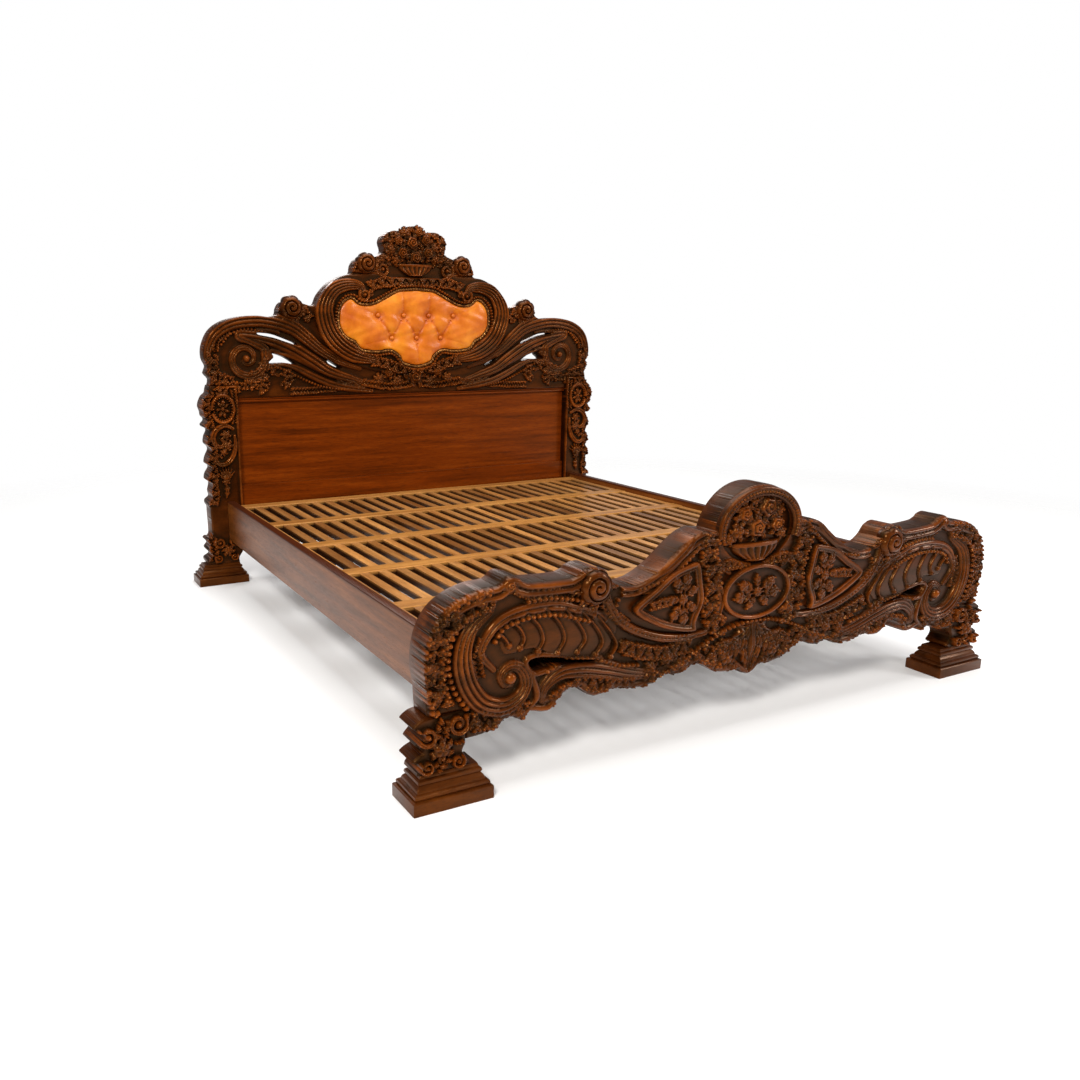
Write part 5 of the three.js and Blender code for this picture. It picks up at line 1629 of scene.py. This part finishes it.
def deck_finish(name, deep, body, bright, along, top):
    """Oiled wood, planed on top with growth rings in streaks, and painted dark below the top as shade in the
    gaps between the pieces. Each slat has its own tone."""
    material = lacquered_wood(name, deep, body, bright, along, streak=0.75)
    nodes, links, shader = shader_of(material)
    own = nodes.new("ShaderNodeAttribute")
    own.attribute_name = "shade"
    tint = ramp(nodes, [(0.0, (0.52, 0.45, 0.40, 1)), (0.5, (1, 1, 1, 1)), (1.0, (1.35, 1.3, 1.2, 1))])
    links.new(own.outputs["Fac"], tint.inputs["Fac"])
    before = shader.inputs["Base Color"].links[0].from_socket
    toned = mix_colours(nodes, links, 1.0, before, tint.outputs["Color"], "MULTIPLY")
    place = nodes.new("ShaderNodeTexCoord")
    axes = nodes.new("ShaderNodeSeparateXYZ")
    links.new(place.outputs["Object"], axes.inputs["Vector"])
    # Painted shade: the colour goes dark below the top, so the sides of slats, cleats and beams read as shade
    # in the gaps.
    gap_shade_ramp = nodes.new("ShaderNodeMapRange")
    for socket, value in (("From Min", top - 0.009), ("From Max", top - 0.0012), ("To Min", 1.0),
                          ("To Max", 0.0)):
        gap_shade_ramp.inputs[socket].default_value = value
    links.new(axes.outputs["Z"], gap_shade_ramp.inputs["Value"])
    links.new(mix_colours(nodes, links, gap_shade_ramp.outputs["Result"], toned, from_hex("2c160a")),
              shader.inputs["Base Color"])
    shader.inputs["Coat Weight"].default_value = 0.12
    shader.inputs["Coat Roughness"].default_value = 0.35
    return material


beam_wood = deck_finish("beam_wood", from_hex("8a5a2a"), from_hex("a67238"), from_hex("bb8748"),
                        (0.8, 12, 12),
                        float(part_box("cross_beam_1")[1].z) - 0.004)
slat_wood = deck_finish("slat_wood", from_hex("7c5026"), from_hex("9c6c3a"), from_hex("b8864e"),
                        (12, 0.8, 12),
                        float(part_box("slat_row_1")[1].z))
deck_seed = np.random.default_rng(3)
for number in range(1, 7):
    low, high = (np.array(corner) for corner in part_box(f"cross_beam_{number}"))
    web_low = low[1] + (0.025 if number > 1 else 0)
    web_high = high[1] - (0.025 if number < 6 else 0)
    ease = 0.002
    section = [[web_low, high[2] - ease], [web_low + ease, high[2]], [web_high - ease, high[2]],
               [web_high, high[2] - ease]]
    if number < 6:
        section += [[web_high, low[2] + 0.022], [high[1], low[2] + 0.022]]
    section += [[high[1], low[2]], [low[1], low[2]]]
    if number > 1:
        section += [[low[1], low[2] + 0.022], [web_low, low[2] + 0.022]]
    beam = planed_length(f"cross_beam_{number}_planed", section, 0, low[0], high[0], None, None, None, 30)
    shade = np.full(len(beam.data.vertices), 0.45 + 0.2 * deck_seed.random(), np.float32)
    beam.data.attributes.new("shade", "FLOAT", "POINT").data.foreach_set("value", shade)
    finish(beam, beam_wood, "slat_wood", f"cross_beam_{number}")


def planks(starts, ends, ease):
    """Eased planks between arrays of low and high corners: a section of eight points at each end,
    drawn in by the easing at the very end."""
    starts, ends = np.asarray(starts, float), np.asarray(ends, float)
    cut = np.array([[0, 1], [1, 0], [1, 0], [0, 1], [0, -1], [-1, 0], [-1, 0], [0, -1]], float)
    side = np.array([[0, 0], [0, 0], [1, 0], [1, 0], [1, 1], [1, 1], [0, 1], [0, 1]], float)
    low, high = starts[:, None, [0, 2]], ends[:, None, [0, 2]]
    ring = low + side[None] * (high - low) + ease * cut[None]
    middle = (low + high) / 2
    small = middle + (ring - middle) * (1 - 2 * ease / np.maximum(high - low, 1e-6))
    rows = [(small, starts[:, 1]), (ring, starts[:, 1] + ease), (ring, ends[:, 1] - ease),
            (small, ends[:, 1])]
    points = np.stack([np.stack([part[..., 0], np.broadcast_to(y[:, None], part[..., 0].shape), part[..., 1]],
                                axis=-1) for part, y in rows], axis=1)
    step = np.arange(3)[:, None] * 8 + np.arange(8)[None, :]
    ahead = np.arange(3)[:, None] * 8 + (np.arange(8)[None, :] + 1) % 8
    faces = np.stack([step, step + 8, ahead + 8, ahead], axis=-1).reshape(-1, 4)
    caps = np.array([[0, 1, 2, 7], [7, 2, 3, 6], [6, 3, 4, 5]])
    faces = np.vstack([faces, caps, caps[:, ::-1] + 24])
    faces = (faces[None] + 32 * np.arange(len(starts))[:, None, None]).reshape(-1, 4)
    return points.reshape(-1, 3), faces


slat_width = 0.030
slat_thickness = 0.022
slats_per_row = 28
cleat = 0.020
for row in range(1, 6):
    low, high = (np.array(corner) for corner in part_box(f"slat_row_{row}"))
    left = low[0] + np.arange(slats_per_row) * (high[0] - low[0] - slat_width) / (slats_per_row - 1)
    starts = np.stack([left, np.full(slats_per_row, low[1]),
                       np.full(slats_per_row, high[2] - slat_thickness)], 1)
    ends = np.stack([left + slat_width, np.full(slats_per_row, high[1]), np.full(slats_per_row, high[2])], 1)
    under = high[2] - slat_thickness - 0.0002
    starts = np.vstack([starts, [low[0], low[1], low[2]], [low[0], high[1] - cleat, low[2]]])
    ends = np.vstack([ends, [high[0], low[1] + cleat, under], [high[0], high[1], under]])
    points, faces = planks(starts, ends, 0.0015)
    slats = put_mesh(f"slat_row_{row}_planed", points, faces, smooth=False)
    close_shell(slats)
    shade = np.repeat(deck_seed.random(len(starts)), 32).astype(np.float32)
    slats.data.attributes.new("shade", "FLOAT", "POINT").data.foreach_set("value", shade)
    finish(slats, slat_wood, "slat_wood", f"slat_row_{row}")
